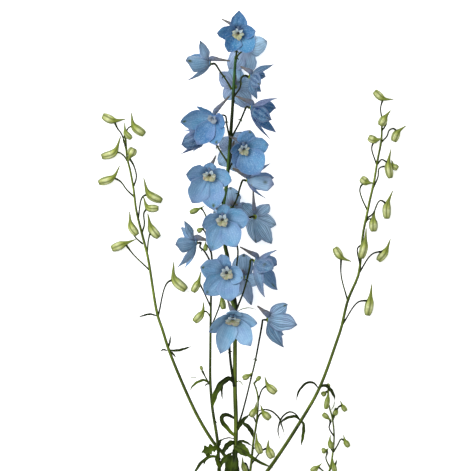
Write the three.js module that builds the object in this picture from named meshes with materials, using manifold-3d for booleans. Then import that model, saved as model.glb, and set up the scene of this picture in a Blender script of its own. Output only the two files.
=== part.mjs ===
// A cut delphinium with sky-blue blooms, laid down on a flat surface.
// Millimetres. The surface is z = 0, x runs across the plant and y from its cut end towards its top.
// Places are read on a lay-out sheet: [across from its left edge, down from its top edge, height].

import * as THREE from 'three';
import { mergeVertices } from 'three/addons/utils/BufferGeometryUtils.js';
import Module from 'manifold-3d';

const wasm = await Module();
wasm.setup();

// ---- driving dimensions --------------------------------------------------------------------------

const SHEET_CENTRE_ACROSS = 252;   // middle of the plant on the sheet
const SHEET_CENTRE_DOWN = 331;
const FIT_GAP = 0.3;               // between pieces that touch

const SEPAL_THICKNESS = 0.9;
const SEPAL_BREADTH = 0.41;        // half the breadth, as a share of the length
const SEPAL_BREADTH_MOST = 11;
const SEPAL_BLUNTNESS = 0.55;      // below 1 fills the outline out towards root and tip
const SEPAL_ROWS = [0, 0.22, 0.54, 0.83, 1];
const SEPAL_COLUMNS = 3;
const SEPAL_TWIST = 1.1;           // one edge lifts over the next sepal, as in a pinwheel
const SEPAL_SPREAD_MOST = THREE.MathUtils.degToRad(50);
const SEPAL_PARTING = 0.3;         // kept free between neighbours
const LOWEST_LAYER = 0.45;         // middle layer of what is pressed on the surface

const CALYX_RADIUS = 3.2;          // the disc that carries the sepals
const CALYX_HEIGHT = 3;
const CALYX_SIDES = 5;
const CALYX_FRONT = 0.8;           // its front face, ahead of the sepals' roots
const SPUR_RADII = [1.9, 2.1, 1.5, 0.7];

const BEE_SIDES = 8;               // four lobes with a notch between each two
const BEE_HEIGHTS = [0, 4.2, 6];
const BEE_LOBE_RADII = [1.2, 4.6, 3.6];
const BEE_NOTCH_RADII = [1.2, 2, 1.4];
const BEE_HOLLOW = 2.4;            // how deep its middle lies below the rim

const PEDICEL_RADIUS = 0.85;
const PEDICEL_DROP = -0.8;          // it meets the disc below its middle, clear of the spur
const MAIN_SIDES = 6;
const MAIN_STEPS = 34;
const SIDE_SIDES = 5;
const SIDE_STEPS = 20;
const STEM_RADII = [2.8, 2.6, 2.3, 2.1, 2.0, 1.95, 1.9, 1.7, 1.3];
const BUD_SHAPE = [0.55, 1, 0.6, 0.28, 0.14];   // girth from the nose to the tip of the spur
const BUD_PEDICEL_RADIUS = 0.6;

const LEAF_THICKNESS = 0.9;
const LEAF_ROWS = [0, 0.16, 0.36, 0.58, 0.8, 1];

// ---- materials -------------------------------------------------------------------------------------

const petalBlue = new THREE.MeshStandardMaterial({ color: 0x6f9fd2, roughness: 0.6, metalness: 0 });
const beeCream = new THREE.MeshStandardMaterial({ color: 0xd9d2a8, roughness: 0.7, metalness: 0 });
const stemGreen = new THREE.MeshStandardMaterial({ color: 0x5f7a2c, roughness: 0.55, metalness: 0 });

// ---- the stems: routes from the foot up, and what grows on each --------------------------------------

const mainRoute = [
  [238, 650, 2.8], [236.5, 585, 6.5], [236, 520, 13], [235, 470, 20], [235.6, 444, 23.5], [236, 423, 26],
  [235, 388, 28], [235, 346, 30], [235, 308, 31], [232, 300, 31], [227.4, 256, 31], [225, 245, 31],
  [223.6, 203, 31], [226.2, 188, 31], [228.4, 166, 31], [231.2, 128, 30.5], [232.7, 105, 30],
  [235, 67, 29], [235.8, 57, 28.5],
];

const mainBud = {
  nose: [242.6, 378, 30], neck: [249.5, 374.5, 30], spur: [253, 371.5, 30], girth: 3.2,
  stalk: [[251, 376, 29.5], [250.6, 379, 28.2]],
};

const leftBranch = {
  name: 'left_branch',
  route: [
    [235, 472, 19.8], [224, 454, 18.5], [215, 444, 17.5], [199.9, 420, 15.5], [188.6, 397, 14],
    [169, 350, 12], [162.7, 330, 11.5], [157.4, 314, 11], [147.8, 256.5, 9], [142, 233.6, 8.5],
    [136.3, 210, 8], [133.5, 188, 7.5], [129.3, 166, 7], [127.5, 159.6, 7], [125, 130, 6],
  ],
  radii: [1.7, 1.5, 1.2, 0.9, 0.7],
  buds: [
    { nose: [102.5, 115.5, 4.6], neck: [114, 120.5, 4.6], spur: [126, 119, 6], girth: 4.6,
      stalk: [[121.6, 134, 5], [126.3, 150, 6.6]] },
    { nose: [144.5, 134.5, 6], neck: [134, 126, 7], spur: [131.4, 112.6, 8], girth: 4.5,
      stalk: [[129, 127.5, 7], [125.2, 134, 6.3]] },
    { nose: [131, 139.5, 12], neck: [126, 134, 12.5], spur: [124.7, 123, 13], girth: 3.2,
      stalk: [[123.5, 140, 11], [125.9, 146, 6.7]] },
    { nose: [101.5, 157, 5], neck: [114, 152.6, 5], spur: [121, 136, 7], girth: 4.3,
      stalk: [[120, 155, 5], [127, 159, 7]] },
    { nose: [136, 148.5, 14], neck: [131, 158.5, 13], spur: [129.5, 165, 14], girth: 4.2,
      stalk: [[134, 166, 12], [136.5, 177, 10], [133.4, 187, 7.4]] },
    { nose: [98.5, 183, 4.4], neck: [113, 177.5, 5], spur: [119.8, 166, 8], girth: 4.4,
      stalk: [[121, 184, 6], [134.4, 196, 7.6]] },
    { nose: [162, 201, 6], neck: [149, 194, 7], spur: [143.7, 178, 9], girth: 4.4,
      stalk: [[142.5, 197, 8], [138.2, 219, 8.2]] },
    { nose: [158, 210, 13], neck: [147, 207.5, 13], spur: [144, 198, 14], girth: 3.3,
      stalk: [[143.5, 216, 11], [142, 233, 8.4]] },
    { nose: [137.5, 235, 15.5], neck: [131.5, 226.5, 15], spur: [129.7, 211.6, 15], girth: 4.3,
      stalk: [[131, 236, 12], [142.6, 237, 8.6]] },
    { nose: [159, 237.5, 6], neck: [151.5, 228.5, 6], spur: [147.8, 213.5, 9], girth: 4.5,
      stalk: [[148.5, 240, 7], [147.2, 254, 9]] },
    { nose: [111.5, 249, 4.6], neck: [125, 243.5, 4.6], spur: [136, 239.3, 7], girth: 4.6,
      stalk: [[133, 254, 6], [149.5, 270, 9.3]] },
    { nose: [186, 290, 6], neck: [174.5, 279, 7], spur: [173.7, 262, 9], girth: 5,
      stalk: [[167, 283, 9], [158, 317, 11]] },
  ],
};

const innerLeftStem = {
  name: 'inner_left_stem',
  route: [
    [236, 524, 12.8], [226, 496, 17], [219.8, 471, 21], [217.5, 440, 23], [212.5, 408, 23],
    [210.4, 382, 23], [210.4, 350, 23], [211, 300, 23], [211.8, 256, 24], [206.5, 233, 26], [207, 217, 26],
  ],
  radii: [1.8, 1.6, 1.4, 1.1, 0.8],
  buds: [
    { nose: [190, 212.8, 30], neck: [201, 208, 29], spur: [204.5, 206, 29], girth: 3,
      stalk: [[204, 212, 28], [206.9, 218.5, 26]] },
    { nose: [197.6, 231.5, 30], neck: [202.5, 228.5, 29], spur: [205, 227.5, 29], girth: 2.8,
      stalk: [[205, 232, 28], [206.9, 237, 25.6]] },
    { nose: [206, 250.5, 33], neck: [205.4, 244.6, 31], spur: [206, 241, 30], girth: 2.3,
      stalk: [[208.5, 247, 28], [211, 252, 24.3]] },
    { nose: [193, 292, 26], neck: [198.6, 281.5, 26], spur: [201, 271.5, 27], girth: 4,
      stalk: [[203, 290, 25], [210.9, 307, 22.9]] },
    { nose: [194.5, 322, 20], neck: [202.8, 311.5, 20], spur: [203.6, 302, 21], girth: 4.2,
      stalk: [[206.5, 311.5, 21], [210.8, 317, 22.7]] },
    { nose: [223.8, 309, 24], neck: [222, 298, 24], spur: [222, 290, 24], girth: 3.2,
      stalk: [[218, 310, 22], [210.7, 328, 22.4]] },
    { nose: [200.6, 365.5, 26], neck: [202.3, 370.5, 25.5], spur: [203, 373, 25], girth: 1.8,
      stalk: [[206.5, 378.5, 24.5], [210.4, 385, 23]] },
  ],
};

const middleSpray = {
  name: 'middle_spray',
  route: [
    [236.2, 532, 11.8], [241, 508, 18], [250, 471, 24], [253.4, 440.7, 26], [256, 425, 27],
    [258, 399, 28], [256, 388, 28], [253.5, 382, 28],
  ],
  radii: [1.4, 1.3, 1.1, 0.8],
  buds: [
    { nose: [276, 392.5, 27], neck: [267.5, 384.5, 27], spur: [264.7, 376.5, 28], girth: 4.4,
      stalk: [[262, 389, 27], [257.9, 401, 27.9]] },
    { nose: [260.5, 376, 30], neck: [256, 380.5, 29], spur: [253.5, 383, 28.5], girth: 2.3,
      stalk: [[254.5, 383, 28.5], [256, 388, 28]] },
    { nose: [250.3, 416, 30], neck: [255, 409, 31], spur: [256.5, 401.5, 32], girth: 3.5,
      stalk: [[253, 414, 29], [256.2, 422, 27.2]] },
    { nose: [270, 418.5, 29], neck: [263.2, 411.5, 29], spur: [260.6, 404.5, 30], girth: 3.9,
      stalk: [[259.5, 414, 28], [255.6, 427, 27]] },
    { nose: [260.8, 453, 30], neck: [256.7, 441.5, 31], spur: [256.5, 432.5, 32], girth: 3.8,
      stalk: [[257, 446, 28], [253, 448, 25.3]] },
    { nose: [272.5, 457.5, 26], neck: [268, 447, 26], spur: [268.5, 439.5, 27], girth: 4.4,
      stalk: [[262, 450, 25], [251.5, 463, 25]] },
    { nose: [246, 471.5, 26], neck: [243, 463, 26], spur: [242.5, 456.5, 27], girth: 3,
      stalk: [[246, 463, 24], [249.6, 474, 23.7]] },
  ],
};

const lowRightSpray = {
  name: 'low_right_spray',
  route: [
    [237.2, 600, 5.6], [262, 560, 6], [295, 520, 6], [318, 492, 6], [329, 471, 6], [333, 451, 6],
    [334, 434, 6], [332, 416.6, 6], [328.5, 404, 6], [328, 388, 6],
  ],
  radii: [1.5, 1.3, 1.1, 0.8, 0.6],
  buds: [
    { nose: [321.5, 395, 7], neck: [326, 392, 7], spur: [328, 390, 6.5], girth: 2.4,
      stalk: [[327, 391, 6.5], [328.2, 394, 6]] },
    { nose: [326.5, 384, 9], neck: [329, 387, 8.5], spur: [330.5, 390, 8], girth: 2,
      stalk: [[329, 389, 8], [328.2, 391, 6]] },
    { nose: [323, 404, 9], neck: [327.5, 401, 8.5], spur: [330, 399, 8], girth: 2.3,
      stalk: [[328.5, 402, 8], [328.6, 405, 6]] },
    { nose: [322.5, 420.5, 7], neck: [329, 415, 7], spur: [332, 411, 9], girth: 3.7,
      stalk: [[331, 417, 6], [332.7, 422, 6]] },
    { nose: [339, 414, 4.5], neck: [335.3, 409.5, 4.5], spur: [334, 405, 5], girth: 2.6,
      stalk: [[332.5, 411, 5], [331.6, 415, 6]] },
    { nose: [347, 410, 4.5], neck: [342.6, 404.5, 5], spur: [340.4, 399.5, 6], girth: 3.3,
      stalk: [[338.5, 407, 5], [332.6, 420, 6]] },
    { nose: [328.5, 448.5, 8.5], neck: [330.5, 442, 9], spur: [331, 437, 10], girth: 3,
      stalk: [[331.5, 446, 8], [333.2, 450, 6]] },
    { nose: [349.8, 446.5, 5], neck: [345.3, 440, 6], spur: [343.5, 433, 7], girth: 3.5,
      stalk: [[340, 441, 6], [333.2, 452, 6]] },
    { nose: [323, 454, 5], neck: [325.5, 447.5, 5], spur: [326.5, 442, 6], girth: 3,
      stalk: [[328, 450, 5], [331.5, 460, 6]] },
    { nose: [311, 471.5, 5], neck: [318, 466.5, 5], spur: [322, 463, 6], girth: 3.3,
      stalk: [[322, 470, 5.5], [327.5, 475, 6]] },
    { nose: [335, 472.5, 9], neck: [333.3, 464, 9], spur: [332.5, 457, 10], girth: 2.8,
      stalk: [[331, 468, 8], [328, 473.5, 6]] },
  ],
};

const rightBranch = {
  name: 'right_branch',
  route: [
    [236, 508, 14.6], [267, 471, 15.5], [300.8, 420.4, 14.5], [319.2, 388, 13.5], [337, 340, 12],
    [341, 328, 11.5], [347.8, 300, 10.5], [358.3, 275, 9.5], [360.2, 262, 9], [363, 233, 8.5],
    [366.9, 214, 8], [369.8, 200, 8], [373.7, 183, 7.5], [377.5, 160, 7], [381.3, 140, 6.5],
    [381.7, 118, 6],
  ],
  radii: [1.9, 1.7, 1.4, 1.1, 0.8, 0.6],
  buds: [
    { nose: [374.3, 91.2, 4.1], neck: [383, 98.5, 4.4], spur: [393.5, 99.5, 6], girth: 4.1,
      stalk: [[380.5, 108, 5], [381.8, 119, 6]] },
    { nose: [378.8, 125.5, 12], neck: [386, 117.5, 12], spur: [390.5, 110.5, 13], girth: 3.9,
      stalk: [[386, 124, 10], [381.6, 131, 6.2]] },
    { nose: [391.5, 141.5, 5], neck: [398.5, 133, 6], spur: [406, 125.7, 7], girth: 4,
      stalk: [[390, 133, 6], [381.4, 142, 6.5]] },
    { nose: [368.3, 136.2, 5], neck: [374, 140.5, 6], spur: [382.5, 138.5, 11], girth: 3.6,
      stalk: [[371.6, 148, 6], [376.6, 165, 7.1]] },
    { nose: [388, 178.5, 5], neck: [390.6, 164, 6], spur: [391.3, 149, 7], girth: 4.2,
      stalk: [[384.5, 158, 7], [377.2, 162.5, 7]] },
    { nose: [398, 172.5, 8], neck: [393.5, 164, 9], spur: [393, 159, 10], girth: 2.4,
      stalk: [[386, 165, 10], [373.2, 186, 7.6]] },
    { nose: [360.3, 177.3, 5], neck: [366.5, 181.8, 6], spur: [373.5, 183.5, 12], girth: 3.7,
      stalk: [[360.5, 190, 6], [367.6, 210.5, 8]] },
    { nose: [385, 219, 4.2], neck: [388.3, 205, 5], spur: [392.7, 190.5, 8], girth: 4.2,
      stalk: [[379, 199, 8], [368, 209, 8]] },
    { nose: [371, 231.5, 5], neck: [374.5, 219, 6], spur: [377.3, 207, 8], girth: 4.2,
      stalk: [[368.5, 219, 8], [365.2, 223, 8.3]] },
    { nose: [360.8, 258.5, 17], neck: [364.6, 243.5, 17], spur: [366, 228, 17], girth: 4.4,
      stalk: [[357.5, 248, 14], [360, 265, 9.1]] },
    { nose: [334.8, 247.5, 5], neck: [341, 257, 6], spur: [351.2, 261.5, 8], girth: 4.3,
      stalk: [[341, 275, 7], [347.6, 301, 10.5]] },
    { nose: [378, 261, 4.4], neck: [385.7, 251, 5], spur: [390.3, 239, 8], girth: 4.4,
      stalk: [[372, 254, 9], [358.9, 273, 9.5]] },
    { nose: [367.4, 315.5, 6], neck: [370, 300.5, 7], spur: [371.7, 284, 8], girth: 4.7,
      stalk: [[358, 302, 9], [342, 325, 11.4]] },
  ],
};

// ---- the blooms: eye, the way each faces, its sepal tips, spur and pedicel ---------------------------
// faces: turn on the sheet (0 to the right, 90 up) and lift out of the sheet, in degrees.

const blooms = [
  { eye: [238.2, 33.6, 43], faces: [-90, 76], spur: [222, 20, 36],
    tips: [[239.2, 11.6, 50], [255.6, 32.5, 52], [252.8, 53, 50], [228, 53.4, 50], [217.3, 35, 51]],
    pedicel: [[235.6, 60, 28.8], [237, 49, 30]] },
  { eye: [246, 49, 12], faces: [-70, -84], spur: [239, 43, 24],
    tips: [[229, 37, 0.5], [229.5, 67.5, 0.5], [253.5, 68.5, 0.5], [267, 44, 2], [249.5, 28, 3]],
    pedicel: [[234.8, 70, 29], [240, 60, 24]] },
  { eye: [209, 64.5, 31], faces: [191, 6], spur: [230, 61.5, 35],
    tips: [[199.3, 41.3, 32], [185.2, 62.5, 46], [185.2, 81.5, 38], [190, 76, 15], [187, 57, 15]],
    pedicel: [[231.7, 90, 30], [224, 77, 30], [215, 69, 30.5]] },
  { eye: [250.5, 77.5, 29], faces: [-24, -12], spur: [240.5, 67, 26],
    tips: [[274.8, 65.2, 27], [270, 80, 12], [266, 96, 13], [258.3, 101, 32], [263, 85, 45]],
    pedicel: [[233, 98, 30], [240, 88, 29.5], [241.5, 78, 29.5]] },
  { eye: [234.5, 87, 11], faces: [-80, -86], spur: [236, 76, 22],
    tips: [[219.5, 72, 0.5], [224, 99, 0.5], [249.5, 107.5, 0.5], [255, 84, 0.5], [236.5, 72, 0.5]],
    pedicel: [[232.4, 108, 30], [234, 97, 24]] },
  { eye: [252, 108.8, 32], faces: [-26, 8], spur: [235.5, 96.5, 35],
    tips: [[278.9, 99.2, 34], [277, 109, 18], [276.5, 133, 22], [271.3, 140.5, 40], [272, 121, 50]],
    pedicel: [[230.8, 139, 30.7], [239, 124, 31], [243.6, 113.5, 31.5]] },
  { eye: [214.5, 118, 44], faces: [-140, 60], spur: [229.5, 96.5, 37],
    tips: [[199, 105, 48], [225, 125, 58], [216, 146.5, 57], [197, 146, 53], [180, 123.3, 50]],
    pedicel: [[230.6, 142, 30.7], [227, 126, 34], [225, 116, 37]] },
  { eye: [206, 136, 27], faces: [-170, -38], spur: [219, 128, 33],
    tips: [[186, 122, 22], [188, 136, 34], [180, 152.5, 29], [192, 152, 8], [181, 130, 7]],
    pedicel: [[228.7, 164, 31], [222, 154, 30], [215, 143, 29]] },
  { eye: [243.3, 148.5, 45], faces: [-60, 68], spur: [236, 134, 38],
    tips: [
      [250.5, 131, 47], [268.8, 145.3, 50], [263.5, 172, 53], [243.5, 173.5, 55], [230.5, 151, 52]],
    pedicel: [[228.6, 170, 31], [233, 162, 36], [239, 154, 38]] },
  { eye: [233, 151, 12], faces: [-90, -86], spur: [238, 142, 22],
    tips: [[221.5, 137.5, 0.5], [219, 165, 0.5], [237, 172, 0.5], [252, 157, 0.5], [243, 132, 0.5]],
    pedicel: [[228.3, 172, 31], [230, 162, 23]] },
  { eye: [209.8, 174.5, 44], faces: [-95, 70], spur: [216, 156, 37],
    tips: [
      [211, 162.5, 46], [231.8, 181.5, 51], [214, 210.5, 53], [192, 203.5, 54], [186.2, 175, 51]],
    pedicel: [[224, 206, 31], [219, 194, 34], [212, 182, 37]] },
  { eye: [249.5, 180.3, 31], faces: [-16, 4], spur: [233, 166.5, 34],
    tips: [[271.3, 163.8, 33], [273, 177, 16], [268, 192, 16], [266.5, 199, 38], [274.5, 184.5, 45]],
    pedicel: [[223.9, 220, 31], [236, 201, 31], [240.5, 186, 31]] },
  { eye: [232, 208, 12], faces: [-90, -86], spur: [236, 198, 22],
    tips: [[230.5, 186.8, 0.5], [213, 213, 0.5], [222, 231, 0.5], [243, 226, 0.5], [248, 206, 0.5]],
    pedicel: [[223.9, 230, 31], [227, 219, 22]] },
  { eye: [222.4, 218.8, 45], faces: [-90, 72], spur: [214, 206, 38],
    tips: [[225.5, 204.3, 49], [249.5, 219.2, 52], [236.5, 247.3, 54], [211.5, 251.3, 54], [202, 226.2, 52]],
    pedicel: [[234.2, 305, 31], [236.5, 268, 35], [237.5, 247, 36], [229, 229, 37]] },
  { eye: [255, 217, 17], faces: [-30, -64], spur: [255.5, 194.3, 27],
    tips: [[242.5, 203.8, 9], [256.5, 243.5, 1], [272, 244.3, 8], [276.7, 225.5, 2], [269.7, 204.3, 6]],
    pedicel: [[228, 260, 31], [240, 240, 28], [248, 225, 24]] },
  { eye: [193.5, 243, 30], faces: [194, 4], spur: [208.5, 240.5, 33],
    tips: [[184, 220.5, 31], [174.5, 245, 44], [177.5, 267, 36], [184, 266, 16], [178, 232, 16]],
    stem: 'inner_left_stem',
    pedicel: [[211.4, 262, 23.9], [208, 254, 27], [200.5, 247, 29]] },
  { eye: [256, 261.5, 33], faces: [-36, 8], spur: [240, 246.8, 37],
    tips: [[277.3, 250.3, 30], [280, 264, 12], [278.5, 290.5, 19], [265.3, 297.5, 40], [275, 271, 53]],
    pedicel: [[235, 313, 31], [244, 290, 31], [249.5, 268, 32]] },
  { eye: [226.6, 271.9, 45], faces: [-90, 78], spur: [226, 258, 38],
    tips: [[221, 254.3, 50], [243.6, 275, 52], [230, 301.3, 53], [205.3, 294.7, 53], [200.3, 267, 52]],
    pedicel: [[235, 330, 30.5], [236.5, 304, 36], [231, 284, 38]] },
  { eye: [242.5, 277, 12], faces: [-80, -86], spur: [240, 266, 22],
    tips: [[241, 255, 0.5], [221.5, 272, 0.5], [231, 297, 0.5], [252, 305.3, 0.5], [258.5, 275, 0.5]],
    pedicel: [[235.2, 319, 31], [240, 293, 23]] },
  { eye: [232.8, 319, 43], faces: [-90, 48], spur: [227.5, 300, 34],
    tips: [[236.5, 309.5, 54], [257.3, 323.3, 52], [250.7, 346.5, 49], [220.2, 353.7, 49], [208.8, 332, 51]],
    pedicel: [[235.2, 386, 28.2], [229.8, 358, 31], [230, 334, 35]] },
  { eye: [268.5, 319.5, 30], faces: [-18, -14], spur: [257.3, 305.8, 28],
    tips: [[288.5, 304.3, 29], [290, 320, 12], [285, 335, 13], [284.7, 347.5, 30], [297.7, 324.5, 42]],
    pedicel: [[236, 430, 25.2], [241.5, 415, 25.5], [251.5, 376, 28], [255.3, 360, 30], [261.5, 327, 30]] },
];

// ---- the leaves: each a few lobes from one root ------------------------------------------------------

const leaves = [
  { stem: 'main_stem', lobes: [
    { route: [[235, 383, 28], [229, 378, 33], [221.6, 383, 35], [215.3, 394, 34], [212.5, 408, 30]],
      breadth: 4.6 },
    { route: [[235, 383, 28], [229, 379, 31], [224, 387, 31], [221.5, 400, 29]], breadth: 2.4 },
    { route: [[235, 383, 28], [239, 381, 31], [243.5, 385, 31]], breadth: 2 }] },
  { stem: 'main_stem', lobes: [
    { route: [[236, 419, 26], [229, 414, 30], [222, 417, 31], [226, 425, 30], [233, 434, 29]],
      breadth: 3.6 }] },
  { stem: 'main_stem', lobes: [
    { route: [[236, 423, 26], [243, 418.5, 30], [250, 413.5, 33]], breadth: 3 },
    { route: [[236, 423, 26], [245, 423, 31], [250, 427, 33], [252, 433, 33]], breadth: 3 }] },
  { stem: 'main_stem', lobes: [
    { route: [[235.6, 443, 23.5], [243, 444, 30], [250, 453, 33], [262, 463.5, 33], [275, 467.5, 30]],
      breadth: 7 },
    { route: [[235.6, 443, 23.5], [244, 441, 30], [251, 443.5, 32]], breadth: 3 },
    { route: [[235.6, 443, 23.5], [229, 444, 30], [222.5, 451, 31]], breadth: 4 }] },
  { stem: 'main_stem', lobes: [
    { route: [[235.5, 455, 22], [226, 449, 28], [215, 448, 29], [203, 446, 27]], breadth: 5 },
    { route: [[235.5, 455, 22], [224, 453, 27], [211, 456, 27], [200, 462, 24], [195.3, 471, 20]],
      breadth: 4.4 },
    { route: [[235.5, 455, 22], [222, 455, 25], [208, 464, 23], [204, 470, 19]], breadth: 3.4 }] },
  { stem: 'main_stem', lobes: [
    { route: [[235.6, 447, 23], [232, 452, 32], [231, 466, 34], [229, 482, 30], [226, 494, 25]],
      breadth: 9 },
    { route: [[235.6, 447, 23], [235, 453, 32], [238, 468, 33], [239, 483, 28]], breadth: 6 }] },
  { stem: 'main_stem', lobes: [
    { route: [[235.6, 438, 24], [226.5, 435, 27], [218.5, 440, 27]], breadth: 2 }] },
  { stem: 'inner_left_stem', lobes: [
    { route: [[210.4, 384, 23], [205, 380, 25], [198, 381.5, 26], [189.5, 390.5, 24]], breadth: 3.4 },
    { route: [[210.4, 384, 23], [205, 383, 24.5], [201, 388, 24.5]], breadth: 2 }] },
  { stem: 'middle_spray', lobes: [
    { route: [[257.2, 411, 27.6], [264.5, 408.5, 24], [274, 412, 23], [280.5, 420, 22], [284.7, 438, 20]],
      breadth: 2 }] },
  { stem: 'left_branch', lobes: [
    { route: [[157.6, 316, 11], [150, 314, 13], [138.5, 317.5, 11]], breadth: 2 }] },
  { stem: 'left_branch', lobes: [
    { route: [[168.5, 350, 12], [178, 350.5, 14], [192.5, 345.8, 12]], breadth: 2.4 },
    { route: [[168.5, 350, 12], [173, 353, 14], [177, 357, 13]], breadth: 1.8 }] },
  { stem: 'right_branch', lobes: [
    { route: [[319, 388.5, 13.5], [311, 382, 18], [302, 387, 18], [295.5, 404, 15]], breadth: 3.2 },
    { route: [[319, 388.5, 13.5], [326, 386, 17], [331, 391, 17], [335, 400.5, 14]], breadth: 3 }] },
  { stem: 'right_branch', lobes: [
    { route: [[300.5, 421, 14.5], [290, 409, 19], [280, 416, 20], [279, 428, 19], [281, 443, 16]],
      breadth: 3.6 },
    { route: [[300.5, 421, 14.5], [293, 414, 17], [285, 417, 17.5], [277, 427.5, 16]], breadth: 2.4 },
    { route: [[300.5, 421, 14.5], [304.5, 426, 18], [300.6, 448, 14]], breadth: 2.6 }] },
];

// ---- solids ------------------------------------------------------------------------------------------

function spot([across, down, height]) {
  return new THREE.Vector3(across - SHEET_CENTRE_ACROSS, SHEET_CENTRE_DOWN - down, height);
}

function toSolid(geometry) {
  const bare = geometry.clone();
  bare.deleteAttribute('normal');
  bare.deleteAttribute('uv');
  const merged = mergeVertices(bare);
  const vertProperties = new Float32Array(merged.attributes.position.array);
  const triVerts = new Uint32Array(merged.index.array);
  return new wasm.Manifold(new wasm.Mesh({ numProp: 3, vertProperties, triVerts }));
}

// One body from several, with any pocket that closes between them filled.
function joined(solids) {
  const bodies = solids.reduce((whole, solid) => whole.add(solid)).decompose();
  return bodies.reduce((one, other) => (other.volume() > one.volume() ? other : one));
}

function toMesh(name, solid, material) {
  const { vertProperties, triVerts } = solid.getMesh();
  const geometry = new THREE.BufferGeometry();
  geometry.setAttribute('position', new THREE.BufferAttribute(vertProperties, 3));
  geometry.setIndex(new THREE.BufferAttribute(triVerts, 1));
  geometry.computeVertexNormals();
  const mesh = new THREE.Mesh(geometry, material);
  mesh.name = name;
  return mesh;
}

// The value at `share` (0 to 1) of a list whose entries are evenly spaced.
function along(list, share) {
  const place = share * (list.length - 1);
  const before = Math.min(Math.floor(place), list.length - 2);
  return THREE.MathUtils.lerp(list[before], list[before + 1], place - before);
}

// A closed round stalk through the points, with its radii spread evenly from end to end.
function stalk(points, radii, sides, steps) {
  const route = new THREE.CatmullRomCurve3(points, false, 'centripetal');
  const frames = route.computeFrenetFrames(steps, false);
  const tube = new THREE.CylinderGeometry(1, 1, 1, sides, steps);
  const vertices = tube.attributes.position;
  for (let i = 0; i < vertices.count; i += 1) {
    const step = Math.round((vertices.getY(i) + 0.5) * steps);
    const radius = along(radii, step / steps);
    const centre = route.getPointAt(step / steps);
    centre.addScaledVector(frames.normals[step], vertices.getX(i) * radius);
    centre.addScaledVector(frames.binormals[step], -vertices.getZ(i) * radius);
    vertices.setXYZ(i, centre.x, centre.y, centre.z);
  }
  return toSolid(tube);
}

// A thin blade round its middle layer surface(u, v): u from root to tip, v from edge to edge.
// Both faces share the rim, the root and the tip, and are split into the same triangles.
function blade(surface, rows, columns, thickness) {
  const lastRow = rows.length - 1;
  const points = [];
  const faces = [];
  const upper = [];
  const lower = [];
  const keep = (point) => points.push(point) - 1;
  const step = 0.01;

  for (let i = 0; i <= lastRow; i += 1) {
    upper.push([]);
    lower.push([]);
    for (let j = 0; j <= columns; j += 1) {
      const u = rows[i];
      const v = -1 + (2 * j) / columns;
      const middle = surface(u, v);
      const onRim = i === 0 || i === lastRow || j === 0 || j === columns;
      if (i === lastRow && j > 0) {
        upper[i].push(upper[i][0]);
        lower[i].push(lower[i][0]);
      } else if (onRim) {
        const index = keep(middle);
        upper[i].push(index);
        lower[i].push(index);
      } else {
        const alongBlade = surface(u + step, v).sub(surface(u - step, v));
        const acrossBlade = surface(u, v + step).sub(surface(u, v - step));
        const normal = alongBlade.cross(acrossBlade).setLength(thickness / 2);
        upper[i].push(keep(middle.clone().add(normal)));
        lower[i].push(keep(middle.clone().sub(normal)));
      }
    }
  }

  for (let i = 0; i < lastRow; i += 1) {
    for (let j = 0; j < columns; j += 1) {
      for (const [layer, flip] of [[upper, false], [lower, true]]) {
        const near = layer[i][j];
        const nearNext = layer[i][j + 1];
        const far = layer[i + 1][j];
        const farNext = layer[i + 1][j + 1];
        const cell = i === lastRow - 1
          ? [[near, far, nearNext]]
          : [[near, far, farNext], [near, farNext, nearNext]];
        cell.forEach(([a, b, c]) => faces.push(...(flip ? [a, c, b] : [a, b, c])));
      }
    }
  }

  const geometry = new THREE.BufferGeometry().setFromPoints(points);
  geometry.setIndex(faces);
  return toSolid(geometry);
}

// ---- blooms --------------------------------------------------------------------------------------------

// The bloom's own axes: z the way it faces, y towards the top of the plant, x to the right of its face.
function bloomAxes({ eye, faces }) {
  const turn = THREE.MathUtils.degToRad(faces[0]);
  const lift = THREE.MathUtils.degToRad(faces[1]);
  const ahead = new THREE.Vector3(
    Math.cos(lift) * Math.cos(turn),
    Math.cos(lift) * Math.sin(turn),
    Math.sin(lift),
  );
  const right = new THREE.Vector3(0, 1, 0).cross(ahead).normalize();
  const up = new THREE.Vector3().crossVectors(ahead, right);
  return new THREE.Matrix4().makeBasis(right, up, ahead).setPosition(spot(eye));
}

// Sepals in the bloom's own axes, each with its angle and the free angle to either neighbour.
function sepalPlan(bloom, axes) {
  const inverse = axes.clone().invert();
  const sepals = bloom.tips.map((tip) => {
    const place = spot(tip).applyMatrix4(inverse);
    return { angle: Math.atan2(place.y, place.x), reach: Math.hypot(place.x, place.y), ahead: place.z };
  });
  sepals.sort((one, other) => one.angle - other.angle);
  sepals.forEach((sepal, i) => {
    const next = sepals[(i + 1) % sepals.length];
    const gap = THREE.MathUtils.euclideanModulo(next.angle - sepal.angle, 2 * Math.PI);
    sepal.roomAfter = gap / 2;
    next.roomBefore = gap / 2;
  });
  return sepals;
}

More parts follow.
